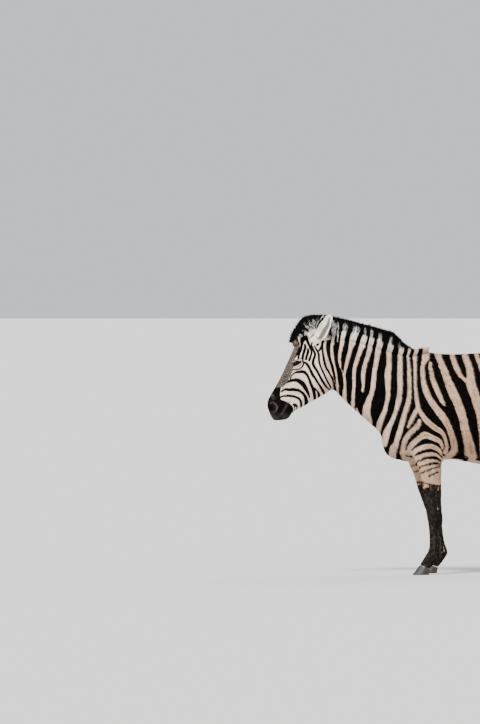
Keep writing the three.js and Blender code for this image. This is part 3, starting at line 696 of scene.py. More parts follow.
def face_lines(points):
    """The fine lines down the front of the face: their count from the middle, and where they are."""
    down, _ = head_frame(points)
    x = np.abs(points[:, 0])
    behind = behind_face(points, down)
    depth = np.interp(down, np.array([0, 60, 110, 150, 200, 260, 300, 335]) * MM,
                      np.array([13, 19, 27, 38, 44, 36, 41, 44]) * MM)
    count = (x + np.maximum(behind, 0)) / FACE_LINE_GAP
    share = eased(depth - behind, -2 * MM, 3 * MM) * eased(down, 0.0, 0.01)
    above_nose = 1 - eased(down + 0.5 * behind, NOSE_BLACK_FROM - 0.004, NOSE_BLACK_FROM + 0.004)
    share *= above_nose * on_fine_part(points) * (x < 0.075)
    return count, share


def belly_and_legs(points, places):
    """How far each point is into the pale ground of the belly, the armpits and the legs."""
    along, height = places[:, 0], places[:, 1]
    across = np.abs(points[:, 0]) / MM
    edge = np.interp(along, [-300, -200, 60, 150, 250, 480, 620, 800],
                     [700, 676, 668, 664, 650, 656, 720, 740])
    belly = np.where((along > -260) & (along < 700), edge + 8 - across * 0.03 - height, -FAR)
    fore = np.where(along < 60, 688 - np.abs(along + 90) * 0.1 - height, -FAR)
    hind = np.where(along > 480, 520 - height, -FAR)
    return np.clip(np.maximum.reduce([belly, fore, hind]), -FAR, FAR)


# ------------------------------------------------------------------ forms under the skin

# (points along the form, half its width, height) on the side of the animal, millimetres.
# A form with a negative height is a hollow.
BODY_FORMS = [
    ([(-330, 1255), (-270, 1130), (-225, 1010), (-232, 900)], 30, 5),  # ridge of the shoulder blade
    ([(-180, 1245), (-140, 1120), (-118, 1000), (-110, 900)], 26, -4),  # behind the shoulder
    ([(-470, 1190), (-410, 1060), (-360, 950), (-330, 880)], 24, -4),  # ahead of the shoulder
    ([(-650, 1090), (-590, 980), (-510, 880), (-440, 800)], 22, -5),  # groove of the throat
    ([(-650, 1290), (-560, 1240), (-470, 1200)], 46, 4),  # muscle of the upper neck
    ([(-420, 815), (-390, 800)], 40, 7),  # point of the shoulder
    ([(-120, 740), (-90, 720)], 34, 6),  # elbow
    ([(-140, 830), (-80, 780)], 40, 5),  # back of the upper arm
    ([(700, 1175), (725, 1150)], 36, 6),  # point of the hip
    ([(560, 1160), (600, 1060), (615, 960)], 40, -5),  # flank
    ([(610, 800), (600, 740)], 44, 8),  # stifle
    ([(790, 1130), (850, 1000), (880, 880)], 36, 4),  # back of the thigh
    ([(880, 1120), (905, 1000), (905, 880)], 16, -5),  # groove before the hamstring
    ([(905, 1075), (925, 1060)], 30, 5),  # seat bone
]
LEG_FORMS = [
    ([(-122, 640), (-118, 560), (-112, 500)], 16, 4),  # muscle of the forearm
    ([(-78, 640), (-84, 560), (-92, 490)], 9, -3),  # groove of the forearm
    ([(-130, 408), (-128, 370)], 18, 4),  # knee
    ([(-100, 395), (-98, 375)], 9, 5),  # back of the knee
    ([(-108, 330), (-110, 260), (-112, 190)], 5, -3),  # groove before the tendons
    ([(-118, 170), (-120, 150)], 16, 3),  # fetlock
    ([(850, 520), (838, 480), (828, 440)], 12, 4),  # hock
    ([(868, 590), (850, 540)], 10, -5),  # hollow before the hamstring's tendon
    ([(815, 360), (808, 280), (802, 210)], 5, -3),  # groove before the hind tendons
]
HEAD_FORMS = [
    ([(-866, 1196), (-895, 1160), (-925, 1120)], 9, 5),  # crest of the cheek bone
    ([(-740, 1230), (-720, 1160), (-740, 1090)], 46, 5),  # muscle of the cheek
    ([(-800, 1085), (-840, 1060), (-880, 1030)], 20, -3),  # bars of the jaw
    ([(-790, 1290), (-800, 1320)], 20, -5),  # temple hollow
    ([(-850, 1268), (-828, 1275)], 12, 4),  # brow
    ([(-905, 1120), (-940, 1075)], 16, -3),  # side of the nose
    ([(-690, 1330), (-680, 1250), (-655, 1150)], 13, -5),  # edge behind the jaw
]


def raised(skin, forms, share):
    """Raises or sinks the skin along each form."""
    mesh = skin.data
    co = positions(mesh)
    places = side_view(co)
    total = np.zeros(len(co))
    for line, half, height in forms:
        spine = curve_through([(*point, 0) for point in line], 6)[:, :2]
        near = np.flatnonzero(
            np.all((places > spine.min(0) - 3 * half) & (places < spine.max(0) + 3 * half), axis=1)
        )
        gap = np.sqrt(((places[near][:, None] - spine[None]) ** 2).sum(-1)).min(1)
        total[near] += height * MM * np.exp(-((gap / half) ** 2))
    set_positions(mesh, co + normals(mesh) * (total * share(co))[:, None])


def facing_sideways(mesh):
    """1 where the skin faces to a side, 0 where it faces up, down, forwards or backwards."""
    return eased(np.abs(normals(mesh)[:, 0]), 0.25, 0.6)


SIDE_VECTOR = Vector((1, 0, 0))
DOWN_VECTOR = Vector((0, -FACE_COS, -FACE_SIN))
OUT_VECTOR = Vector((0, -FACE_SIN, FACE_COS))

LID_LENGTH = 43 * MM
UPPER_LID, LOWER_LID = 13 * MM, 9 * MM
RIM_LENGTH, UPPER_RIM, LOWER_RIM = 76 * MM, 16.5 * MM, 12.5 * MM  # the dark rims round the slit
SLIT_SLOPE = math.radians(22)
LID_FULL = 3.0 * MM  # how thick the lids are
EYE_LOOK = (0.93, 0.02, 0.37)  # the eye's axis: to the side, down the face, out of it


def arc(length, height, up):
    """Centre and radius, in the eye's own frame, of the lid that rises by height over the slit."""
    radius = ((length / 2) ** 2 + height**2) / (2 * height)
    return up * (height - radius), radius


def eye_axes(side):
    """The axes of an eye: along its slit towards the nose, up across it, and out of the head."""
    out = SIDE_VECTOR * (side * EYE_LOOK[0]) + DOWN_VECTOR * EYE_LOOK[1] + OUT_VECTOR * EYE_LOOK[2]
    out.normalize()
    along = Vector((0, -math.cos(SLIT_SLOPE), -math.sin(SLIT_SLOPE)))
    along = (along - out * along.dot(out)).normalized()
    up = out.cross(along) * side
    return np.array([along, -up if up.z < 0 else up, out])


def almond_gap(along, up, length, upper, lower):
    """How far a place in the eye's frame is outside an almond, and which lid's circle is nearest."""
    circles = [arc(length, upper, 1), arc(length, lower, -1)]
    gaps = [np.hypot(along, up - centre) - radius for centre, radius in circles]
    return np.maximum(*gaps), gaps[0] > gaps[1], circles


def lid_gap(along, up):
    return almond_gap(along, up, LID_LENGTH, UPPER_LID, LOWER_LID)


def eye_places(points, side):
    """The points in an eye's frame, and how far they are outside its slit."""
    centre = np.array([EYE.x * side, EYE.y, EYE.z])
    local = (points - centre) @ eye_axes(side).T
    return local, lid_gap(local[:, 0], local[:, 1])


def lids(skin):
    """Opens each eye's slit in the skin, with lids that lie round the ball."""
    mesh = skin.data
    co = positions(mesh)
    for side in (1, -1):
        local, (gap, upper, circles) = eye_places(co, side)
        near = (local[:, 2] > 0) & (np.linalg.norm(local, axis=1) < 0.07)
        for is_upper, (centre, radius) in zip((True, False), circles):
            rim = near & (upper == is_upper) & (np.abs(gap) < 0.7 * MM)
            spoke = local[rim, :2] - [0, centre]
            spoke *= radius / np.linalg.norm(spoke, axis=1)[:, None]
            local[rim, :2] = spoke + [0, centre]
            gap[rim] = 0
        away = np.linalg.norm(local, axis=1)
        lid = EYE_RADIUS + 0.9 * MM + LID_FULL * np.sqrt(np.clip(gap / (4 * MM), 0, 1))
        crease = -2.2 * MM * np.exp(-(((gap - 7.5 * MM) / (2.2 * MM)) ** 2))
        wanted = np.where(gap < -0.1 * MM, EYE_RADIUS - 5 * MM, lid + crease)
        hold = 1 - eased(gap, 5 * MM, 17 * MM)
        size = away + (wanted - away) * hold
        local *= (size / np.maximum(away, 1e-6))[:, None]
        moved = local @ eye_axes(side) + np.array([EYE.x * side, EYE.y, EYE.z])
        co[near] = moved[near]
    set_positions(mesh, co)


MOUTH = [(-925, 996), (-936, 972), (-950, 950), (-966, 930), (-985, 912), (-1010, 900)]
NOSE_FORMS = [
    ([point[:2] for point in NOSTRIL], 7, -15),
    ([(-1026, 1000), (-1010, 1012), (-990, 1003), (-976, 978), (-984, 952)], 8, 5),
    ([(-1030, 985), (-1026, 965)], 7, 3),
    (MOUTH, 4, -5),
    ([(-945, 1000), (-962, 975), (-985, 945)], 12, 3),
    ([(-925, 955), (-945, 925), (-965, 905)], 12, 3),
]


def on_muzzle(points):
    """The parts of the muzzle with fine forms."""
    line = [(*point, 0) for point in MOUTH]
    return inside_strokes(side_view(points), [line, NOSTRIL]) > -17


def ear_hollows(skin):
    """Hollows the opening of each ear."""
    mesh = skin.data
    co, out = positions(mesh), normals(mesh)
    for side in (1, -1):
        local = ear_places(co, side)
        on_ear = (co[:, 0] * side > 0) * ear_share(co)
        along = local[:, 0] / EAR_LENGTH
        half = 42 * MM * np.sqrt(np.clip(1 - (2 * along - 0.85) ** 2 / 1.9, 0.01, 1))
        across = np.clip(local[:, 1] / half, -1, 1)
        facing = eased(out @ ear_axes(side)[2], 0.1, 0.5)
        deep = (1 - across**2) * eased(along, 0.1, 0.35) * (1 - eased(along, 0.8, 1.0))
        move = -deep * facing * 5 * MM * on_ear
        co += move[:, None] * ear_axes(side)[2]
    set_positions(mesh, co)


def near_eye(points, reach):
    away = np.abs(points - np.array(EYE) * [0, 1, 1])
    return (np.hypot(away[:, 1], away[:, 2]) < reach) & (away[:, 0] > 0.05)


def sculpted(skin):
    share = facing_sideways(skin.data)
    raised(skin, BODY_FORMS + LEG_FORMS, lambda co: share)
    raised(skin, HEAD_FORMS, lambda co: share * (co[:, 1] < -0.6))
    ear_hollows(skin)
    refined(skin, lambda p: near_eye(p, 0.055) | on_muzzle(p))
    refined(skin, lambda p: near_eye(p, 0.036))
    refined(skin, lambda p: (p[:, 2] > 0.49) & (p[:, 2] < 0.70) & (p[:, 1] < 0.02))
    lids(skin)
    raised(skin, NOSE_FORMS, lambda co: eased(np.abs(co[:, 0]), 0.012, 0.03))


# ------------------------------------------------------------------ hair

HEAD_ROOM = 1.7  # how much larger the head is drawn in the unwrap than the body


def unwrapped(skin):
    """Unwraps the skin by its own shape, with more room for the head."""
    mesh = skin.data
    layer = mesh.uv_layers.new(name="OFBake")
    mesh.uv_layers.active = layer
    bpy.context.view_layer.objects.active = skin
    skin.select_set(True)
    on_head = on_fine_part(face_middles(mesh))
    corners = read(mesh.polygons, "loop_total", np.int32)
    for part in (~on_head, on_head):
        select_faces(mesh, part)
        bpy.ops.object.mode_set(mode="EDIT")
        bpy.ops.mesh.select_mode(type="FACE")
        bpy.ops.uv.smart_project(angle_limit=math.radians(60), island_margin=0.0)
        bpy.ops.object.mode_set(mode="OBJECT")
    uv = corner_uvs(mesh)
    uv[np.repeat(on_head, corners)] *= surface_share(mesh, uv, corners, on_head) * HEAD_ROOM
    mesh.uv_layers["OFBake"].data.foreach_set("uv", uv.astype(np.float32).ravel())
    select_faces(mesh, np.ones(len(on_head), bool))
    bpy.ops.object.mode_set(mode="EDIT")
    bpy.ops.uv.select_all(action="SELECT")
    bpy.ops.uv.pack_islands(rotate=False, margin=0.0015, shape_method="AABB")
    bpy.ops.object.mode_set(mode="OBJECT")
    skin.select_set(False)


def select_faces(mesh, chosen):
    mesh.polygons.foreach_set("select", chosen)
    mesh.update()


def corner_uvs(mesh):
    return read_rows(mesh.uv_layers["OFBake"].data, "uv", 2).astype(float)


def surface_share(mesh, uv, corners, on_head):
    """How much larger the body is drawn in the unwrap than the head."""
    areas = read(mesh.polygons, "area")
    first = np.concatenate([[0], np.cumsum(corners)[:-1]])
    a, b, c = uv[first], uv[first + 1], uv[first + 2]
    drawn = np.abs((b - a)[:, 0] * (c - a)[:, 1] - (b - a)[:, 1] * (c - a)[:, 0]) / 2
    scale = [math.sqrt(drawn[part].sum() / areas[part].sum()) for part in (~on_head, on_head)]
    return scale[0] / scale[1]


class Surface:
    """A mesh as a ground for hair: places, normals and values anywhere on its triangles."""

    def __init__(self, mesh, values):
        mesh.calc_loop_triangles()
        self.corners = read_rows(mesh.loop_triangles, "vertices", 3, np.int32)
        self.uvs = corner_uvs(mesh)[read_rows(mesh.loop_triangles, "loops", 3, np.int32)]
        self.points, self.normals = positions(mesh), normals(mesh)
        self.values = {name: read(mesh.attributes[name].data, "value") for name in values}
        a, b, c = (self.points[self.corners[:, i]] for i in range(3))
        self.areas = np.linalg.norm(np.cross(b - a, c - a), axis=1) / 2
        self.middles = (a + b + c) / 3

    def scatter(self, count, density, seed):
        """Picks places at random, more of them where the density is higher."""
        random = np.random.default_rng(seed)
        weight = self.areas * density(self.middles)
        picked = np.searchsorted(np.cumsum(weight) / weight.sum(), random.random(count))
        picked = np.minimum(picked, len(weight) - 1)
        share = random.dirichlet((1, 1, 1), count)
        return Roots(self, picked, share)


class Roots:
    """Places on a surface."""

    def __init__(self, surface, picked, share):
        corners = surface.corners[picked]

        def value_at(values):
            return np.einsum("ij,ij...->i...", share, values[corners])

        self.at = value_at(surface.points)
        self.normal = value_at(surface.normals)
        self.normal /= np.maximum(np.linalg.norm(self.normal, axis=1), 1e-9)[:, None]
        self.values = {name: value_at(data) for name, data in surface.values.items()}
        self.uv = np.einsum("ij,ijk->ik", share, surface.uvs[picked])

    def keep(self, chosen):
        self.at, self.normal, self.uv = self.at[chosen], self.normal[chosen], self.uv[chosen]
        self.values = {name: data[chosen] for name, data in self.values.items()}


def unit(vectors):
    return vectors / np.maximum(np.linalg.norm(vectors, axis=1), 1e-9)[:, None]


SPIKE = np.array([[0, 1, 2], [0, 3, 1], [1, 3, 2], [2, 3, 0]])  # the faces of a tuft
PATCH = np.array([[-1, -1], [1, -1], [0, 0], [0, 1]]) * 0.0015  # its corners in the unwrap


def spikes(roots, way, length, width, rise, sink=0.0006, thickness=0.35):
    """Corners of closed, pointed tufts that lie along the given way and rise a little."""
    way = unit(way)
    across = unit(np.cross(roots.normal, way))
    up = np.cross(way, across)
    half = (width / 2)[:, None] * across
    low = roots.at - roots.normal * sink
    top = low + up * (width * thickness + sink)[:, None] + way * (length * 0.12)[:, None]
    tip = roots.at + way * length[:, None] + roots.normal * rise[:, None]
    return np.stack([low - half, low + half, top, tip], axis=1)


def hair_mesh(name, corners, values, uv):
    """One mesh of many spikes, each with its own constant values and its patch of the unwrap."""
    count = len(corners)
    mesh = bpy.data.meshes.new(name)
    mesh.vertices.add(count * 4)
    mesh.vertices.foreach_set("co", np.ascontiguousarray(corners, np.float32).ravel())
    faces = (SPIKE[None] + 4 * np.arange(count)[:, None, None]).reshape(-1, 3)
    mesh.loops.add(len(faces) * 3)
    mesh.loops.foreach_set("vertex_index", faces.astype(np.int32).ravel())
    mesh.polygons.add(len(faces))
    mesh.polygons.foreach_set("loop_start", np.arange(0, len(faces) * 3, 3, dtype=np.int32))
    mesh.update(calc_edges=True)
    for key, data in values.items():
        point_values(mesh, key, np.repeat(data, 4) if data.ndim == 1 else data.ravel())
    layer = mesh.uv_layers.new(name="OFBake")
    spots = np.clip(uv[:, None, :] + PATCH[None], 0, 1).reshape(-1, 2)
    layer.data.foreach_set("uv", spots[faces.ravel()].astype(np.float32).ravel())
    mesh.validate()
    return object_from(mesh, name)


def lie_of_coat(points, normal, seed):
    """Which way the coat lies: back along the trunk, down the neck, the legs and the face."""
    random = np.random.default_rng(seed)
    y, z = points[:, 1], points[:, 2]
    down, _ = head_frame(points)
    head = 1 - eased(y, -0.74, HEAD_ENDS)
    trunk = np.tile([0.0, 0.86, -0.5], (len(points), 1))
    lies = (
        (1 - eased(y, -0.45, -0.2), [0.0, 0.45, -0.9]),  # neck
        (1 - eased(z, 0.6, 0.76), [0.0, 0.08, -1.0]),  # legs
        (eased(z, 0.6, 0.64) * eased(-normal[:, 2], 0.3, 0.7), [0.0, 1.0, 0.0]),  # belly
        (head, np.array(DOWN_VECTOR) * 0.9 + [0, 0.35, -0.1]),
        (head * eased(down, 0.36, 0.42), [0.0, 0.6, -0.7]),  # muzzle
        (ear_share(points), [0.0, 0.35, 1.0]),
        (eased(y, 0.95, 0.99), [0.0, 0.1, -1.0]),  # tail
    )
    way = blended(trunk, [(share[:, None], lie) for share, lie in lies])
    way += random.normal(0, 0.13, way.shape)
    way -= normal * (way * normal).sum(1)[:, None]
    return unit(way)


def coat_lengths(points):
    """The length of the coat's tufts at each point: shortest on the muzzle and by the eyes."""
    y, z = points[:, 1], points[:, 2]
    down, _ = head_frame(points)
    head = 1 - eased(y, -0.78, HEAD_ENDS)
    trunk = np.full(len(points), 14.0)
    length = blended(trunk, [
        (1 - eased(z, 0.45, 0.7), 9.0),  # legs
        (1 - eased(y, -0.6, -0.2), 11.0),  # neck
        (head, 6.5),
        (head * eased(down, 0.25, 0.38), 4.0),  # muzzle
        (ear_share(points), 6.0),
        (eased(y, 0.95, 0.99) * (1 - eased(z, 0.9, 1.0)), 60.0),  # the dock's low end
    ])
    for side in (1, -1):
        away = np.linalg.norm(points - [EYE.x * side, EYE.y, EYE.z], axis=1)
        length *= 1 - 0.5 * (1 - eased(away, 0.035, 0.065))
    return length * MM


MARKS = ("stripe", "shade", "whiter_and_highlit", "bare_skin_and_shade", "grey_and_sheen", "lines", "front")
COAT_WIDEST, CREST_LONGEST = 3.4 * MM, 30 * MM
# Where each piece of the coat grows, and how many tufts it has.
PARTS_OF_COAT = {
    "coat_head": (on_fine_part, 48000),
    "coat_neck": (lambda p: (p[:, 1] >= HEAD_ENDS) & (p[:, 1] < -0.32) & (p[:, 2] > 0.62), 42000),
    "coat_shoulders": (lambda p: (p[:, 1] >= -0.32) & (p[:, 1] < 0.1) & (p[:, 2] > 0.62), 46000),
    "coat_barrel": (lambda p: (p[:, 1] >= 0.1) & (p[:, 1] < 0.55) & (p[:, 2] > 0.58), 46000),
    "coat_rump": (lambda p: (p[:, 1] >= 0.55) & (p[:, 2] > 0.62), 46000),
    "coat_legs": (lambda p: (p[:, 2] <= 0.62) & (p[:, 2] > 0.055), 46000),
}


def near_crest(points):
    """1 on the skin beside the roots of the mane and forelock, where the hair stands up."""
    share = np.zeros(len(points))
    on_top = (points[:, 1] < -0.1) & (points[:, 2] > 1.2)
    close = np.flatnonzero(on_top & (np.abs(points[:, 0]) < 0.06))
    trees = [outline_tree("mane"), outline_tree("forelock")]
    for i in close:
        gap = min(tree.find_nearest(Vector(points[i]), 0.05)[3] or 0.05 for tree in trees)
        share[i] = 1 - eased(gap, 0.014, 0.026)
    return share


def coat_crowding(points, chosen):
    """How closely the tufts stand on the chosen part of the skin."""
    return chosen(points) * coat_density(points) * (1 + 3 * near_crest(points))


def coat(skin):
    """The short coat, as thin overlapping tufts that lie along the body."""
    ground = Surface(skin.data, MARKS)
    material = hair_material("coat", roughness=0.72)
    for number, (name, (chosen, count)) in enumerate(PARTS_OF_COAT.items()):
        roots = ground.scatter(count, lambda p: coat_crowding(p, chosen), 40 + number)
        random = np.random.default_rng(90 + number)
        length = coat_lengths(roots.at) * random.uniform(0.7, 1.25, count)
        width = np.minimum(length * random.uniform(0.2, 0.3, count), COAT_WIDEST)
        rise = length * random.uniform(0.05, 0.19, count)
        way = lie_of_coat(roots.at, roots.normal, 70 + number)
        crest = (near_crest(roots.at) * (1 - ear_share(roots.at)) > 0.45) * 1.0
        upright = mane_way(roots.at) + 0.6 * roots.normal
        way += crest[:, None] * (unit(upright) - way)
        length += crest * random.uniform(0.4, 1.0, count) * CREST_LONGEST
        width -= crest * width * 0.25
        rise += crest * length * 0.06
        values = dict(roots.values, tone=random.uniform(0, 1, count))
        piece = hair_mesh(name, spikes(roots, way, length, width, rise), values, roots.uv)
        finished(piece, material)


def coat_density(points):
    """No tufts in the eyes' slits, on their rims or in the nostrils; more on the face."""
    near = np.zeros(len(points))
    for side in (1, -1):
        local, (gap, _, _) = eye_places(points, side)
        rim, _, _ = almond_gap(local[:, 0], local[:, 1], RIM_LENGTH, UPPER_RIM, LOWER_RIM)
        slit = (np.minimum(gap - 1.5 * MM, rim) < 0) & (local[:, 2] > 0)
        near = np.maximum(near, slit & (np.abs(local).max(1) < 0.05))
    _, out = head_frame(points)
    head = on_fine_part(points)
    near = np.maximum(near, (inside_strokes(side_view(points), [NOSTRIL]) > 0) & head)
    return (1 - near) * (1 + 1.2 * (head & (out > -0.12)) - 0.4 * ear_share(points))


def finished(piece, material, replaces=()):
    piece.data.materials.clear()
    piece.data.materials.append(material)
    smooth_shaded(piece)
    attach(piece, "root")
    if replaces:
        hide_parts(*replaces)


CORE_VOXEL, CORE_SOFTNESS = 5 * MM, 6 * MM


def hair_core(node, shrink, root_way, sunk):
    """A smooth, smaller body under the hair of a mane, forelock or tail, let into the skin."""
    bm = bmesh.new()
    add_solid(bm, node, 0)
    core = from_bmesh(bm, f"{node}_core")
    fuse = core.modifiers.new("fuse", "REMESH")
    fuse.mode = "VOXEL"
    fuse.voxel_size = CORE_VOXEL
    applied(core)
    mesh = core.data
    net = Net(mesh)
    rounds = 20
    share = min(0.95, 2 * (CORE_SOFTNESS / CORE_VOXEL) ** 2 / rounds)
    weight = np.full(len(mesh.vertices), share)
    set_positions(mesh, net.relaxed(positions(mesh), weight, rounds))
    out = normals(mesh)
    rooted = eased(-(out * root_way(positions(mesh))).sum(1), 0.2, 0.7)
    set_positions(mesh, positions(mesh) + out * (rooted * (shrink + sunk) - shrink)[:, None])
    return core


def outline_tree(node):
    bm = bmesh.new()
    bm.from_mesh(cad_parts[node].data)
    tree = BVHTree.FromBMesh(bm)
    bm.free()
    return tree


HAIR_SPAN = 0.7  # longer than any hair piece
ROOTS_SUNK = 14 * MM  # how far the mane's and the forelock's bodies go into the skin
RAGGED = 3.4 * MM  # how far, on average, single hairs stand past the others


def reach_to_outline(tree, points, ways):
    """How far each point is from the outer outline of the hair along the way it grows."""
    reach = np.empty(len(points))
    for i, (point, way) in enumerate(zip(points, ways)):
        hit = tree.ray_cast(Vector(point + way * HAIR_SPAN), Vector(-way), HAIR_SPAN)
        reach[i] = HAIR_SPAN - hit[3] if hit[3] is not None else 0.0
    return reach


def mane_way(points):
    """The mane stands square on the crest, and leans back towards the withers."""
    way = np.zeros_like(points)
    way[:, 0] = points[:, 0] * 6
    way[:, 1] = np.interp(points[:, 1], [-0.86, -0.75, -0.4, -0.15], [-0.2, 0.05, 0.25, 0.75])
    way[:, 2] = 1
    return unit(way)


FORELOCK_ROOT = np.array([0.0, -0.775, 1.345])


def forelock_way(points):
    """The forelock fans out upwards and forwards from between the ears."""
    way = points - FORELOCK_ROOT
    way[:, 0] *= 0.5
    return unit(way)


def tail_way(points):
    way = np.zeros_like(points)
    way[:, 0] = -points[:, 0] * 3
    way[:, 2] = -1
    return unit(way)


def hair_stripes(node, points):
    """The mane carries on the stripes of the neck; the forelock is black with pale strands."""
    if node == "forelock":
        strands = inside_strokes(side_view(points), FORELOCK_WHITE)
        return strands + 1 + 3 * waves(points * [1, 3, 1], 0.012, 5), np.full(len(points), -FAR)
    return stripe_values(np.minimum(points, [1, 1, STRIPES_TOP]))


def long_hair(node, way_of, count, length, width, shrink, fringe, seed):
    """Hair over a core: locks that end raggedly at the outline, dark at their tips."""
    random = np.random.default_rng(seed)
    sunk = 0.0 if node == "tail_tuft" else ROOTS_SUNK
    core = hair_core(node, shrink, way_of, sunk)
    mesh = core.data
    places = positions(mesh)
    tree = outline_tree(node)
    stripe, shade = hair_stripes(node, places)
    point_values(mesh, "stripe", stripe)
    point_values(mesh, "shade", shade)
    point_values(mesh, "reach", reach_to_outline(tree, places, way_of(places)) / MM)
    project_side(mesh)
    ground = Surface(mesh, ("stripe", "shade"))
    roots = ground.scatter(count, lambda p: np.ones(len(p)), seed)
    way = way_of(roots.at) + random.normal(0, 0.09, roots.at.shape)
    reach = reach_to_outline(tree, roots.at, unit(way))
    keep = reach > 1.5 * MM
    roots.keep(keep)
    way, reach = unit(way[keep]), reach[keep]
    number = len(reach)
    clumped = 1 + 0.1 * waves(roots.at * [0.3, 1, 0.3], 0.021, seed)
    tips = reach * clumped * random.uniform(0.75, 1.0, number)
    tips += random.exponential(RAGGED, number)
    size = np.minimum(length * random.uniform(0.6, 1.2, number), tips)
    values = dict(roots.values, tone=random.uniform(0, 1, number))
    middle = roots.at + way * (size * 0.4)[:, None]
    values["stripe"], values["shade"] = hair_stripes(node, middle)
    values["reach"] = (reach[:, None] - size[:, None] * [0, 0, 0.12, 1]) / MM
    wide = width * random.uniform(0.6, 1.2, number)
    flat = way - roots.normal * (way * roots.normal).sum(1)[:, None] * 0.5
    tufts = spikes(roots, flat, size, wide, size * 0.06)
    hair = hair_mesh(f"{node}_hair", tufts, values, roots.uv)
    material = long_hair_material(node, fringe, taper=0.12 if node == "mane" else 0.0)
    finished(core, material, (node,))
    finished(hair, material)


def project_side(mesh):
    """Unwraps a thin upright piece by its two sides, the left half below the right."""
    layer = mesh.uv_layers.new(name="OFBake")
    co = positions(mesh)
    low, high = co.min(0), co.max(0)
    size = max(high[1] - low[1], (high[2] - low[2]) * 2) * 1.02
    left = np.repeat(face_middles(mesh)[:, 0] > 0, read(mesh.polygons, "loop_total", np.int32))
    uv = (co[read(mesh.loops, "vertex_index", np.int32)][:, 1:] - low[1:]) / size
    uv[:, 1] += np.where(left, 0.0, 0.5)
    layer.data.foreach_set("uv", np.clip(uv, 0, 1).astype(np.float32).ravel())


# ------------------------------------------------------------------ materials


class Nodes:
    """A material's nodes, made by one call each."""

    def __init__(self, name):
        self.material = bpy.data.materials.new(name)
        self.material.use_nodes = True
        self.tree = self.material.node_tree
        self.shader = self.tree.nodes["Principled BSDF"]

    def put(self, socket, value):
        if isinstance(value, bpy.types.NodeSocket):
            self.tree.links.new(value, socket)
        elif isinstance(value, tuple) and len(value) == 3 and socket.type == "RGBA":
            socket.default_value = (*value, 1)
        else:
            socket.default_value = value

    def math(self, kind, a, b=0.0):
        node = self.tree.nodes.new("ShaderNodeMath")
        node.operation = kind
        self.put(node.inputs[0], a)
        self.put(node.inputs[1], b)
        return node.outputs[0]

    def plus(self, a, b):
        return self.math("ADD", a, b)

    def times(self, a, b):
        return self.math("MULTIPLY", a, b)

    def less(self, a, b):
        return self.math("SUBTRACT", a, b)

    def mix(self, share, a, b):
        node = self.tree.nodes.new("ShaderNodeMix")
        node.data_type = "RGBA"
        self.put(node.inputs["Factor"], share)
        self.put(node.inputs[6], a)
        self.put(node.inputs[7], b)
        return node.outputs[2]

    def rise(self, value, start, end):
        """0 before start, 1 after end, smooth between them."""
        node = self.tree.nodes.new("ShaderNodeMapRange")
        node.interpolation_type = "SMOOTHSTEP"
        self.put(node.inputs[0], value)
        self.put(node.inputs[1], start)
        self.put(node.inputs[2], end)
        return node.outputs[0]

    def attribute(self, name):
        node = self.tree.nodes.new("ShaderNodeAttribute")
        node.attribute_name = name
        return node.outputs["Fac"]

    def place(self):
        return self.tree.nodes.new("ShaderNodeTexCoord").outputs["Object"]

    def stretched(self, place, scale):
        node = self.tree.nodes.new("ShaderNodeMapping")
        self.put(node.inputs["Vector"], place)
        node.inputs["Scale"].default_value = scale
        return node.outputs[0]

    def axis(self, place, index):
        node = self.tree.nodes.new("ShaderNodeSeparateXYZ")
        self.put(node.inputs[0], place)
        return node.outputs[index]

    def noise(self, place, scale, detail=2.0):
        """Cloudy values of about 0 to 1."""
        node = self.tree.nodes.new("ShaderNodeTexNoise")
        self.put(node.inputs["Vector"], place)
        node.inputs["Scale"].default_value = scale
        node.inputs["Detail"].default_value = detail
        return node.outputs[0]

    def bump(self, height, distance, strength=1.0):
        node = self.tree.nodes.new("ShaderNodeBump")
        node.inputs["Strength"].default_value = strength
        node.inputs["Distance"].default_value = distance
        self.put(node.inputs["Height"], height)
        self.put(self.shader.inputs["Normal"], node.outputs[0])

    def surface(self, colour, roughness, specular=0.5):
        self.put(self.shader.inputs["Base Color"], colour)
        self.put(self.shader.inputs["Roughness"], roughness)
        self.put(self.shader.inputs["Specular IOR Level"], specular)


CREAM = (0.84, 0.61, 0.465)
TAN_CREAM = (0.63, 0.41, 0.275)
NEAR_WHITE = (0.97, 0.87, 0.74)
MANE_WHITE = (0.98, 0.93, 0.86)
BLACK_COAT = (0.0020, 0.0016, 0.0015)
BROWN_BLACK = (0.0052, 0.0032, 0.0022)
SHADOW_BROWN = (0.33, 0.205, 0.13)
DUST = (0.52, 0.37, 0.26)
MUD = (0.012, 0.0095, 0.0072)
DRY_MUD = (0.048, 0.039, 0.031)
# dark hairless skin; also the colour of the painted shade round the eyes and in the ears' hollows
BARE_SKIN_AND_SHADE = (0.012, 0.0095, 0.0085)
# the colour of the painted highlights on the muzzle, and of its dusty lower lip and chin
GREY_SKIN_AND_SHEEN = (0.085, 0.072, 0.064)
IRIS_BROWN = (0.0045, 0.0026, 0.0017)
IRIS_RIM = (0.0015, 0.0013, 0.001)
PUPIL_BLACK = (0.001, 0.001, 0.001)
HORN_DARK = (0.013, 0.011, 0.009)
HORN_LIGHT = (0.042, 0.034, 0.028)


MUD_LINE = 0.512  # how high the mud stands on the legs


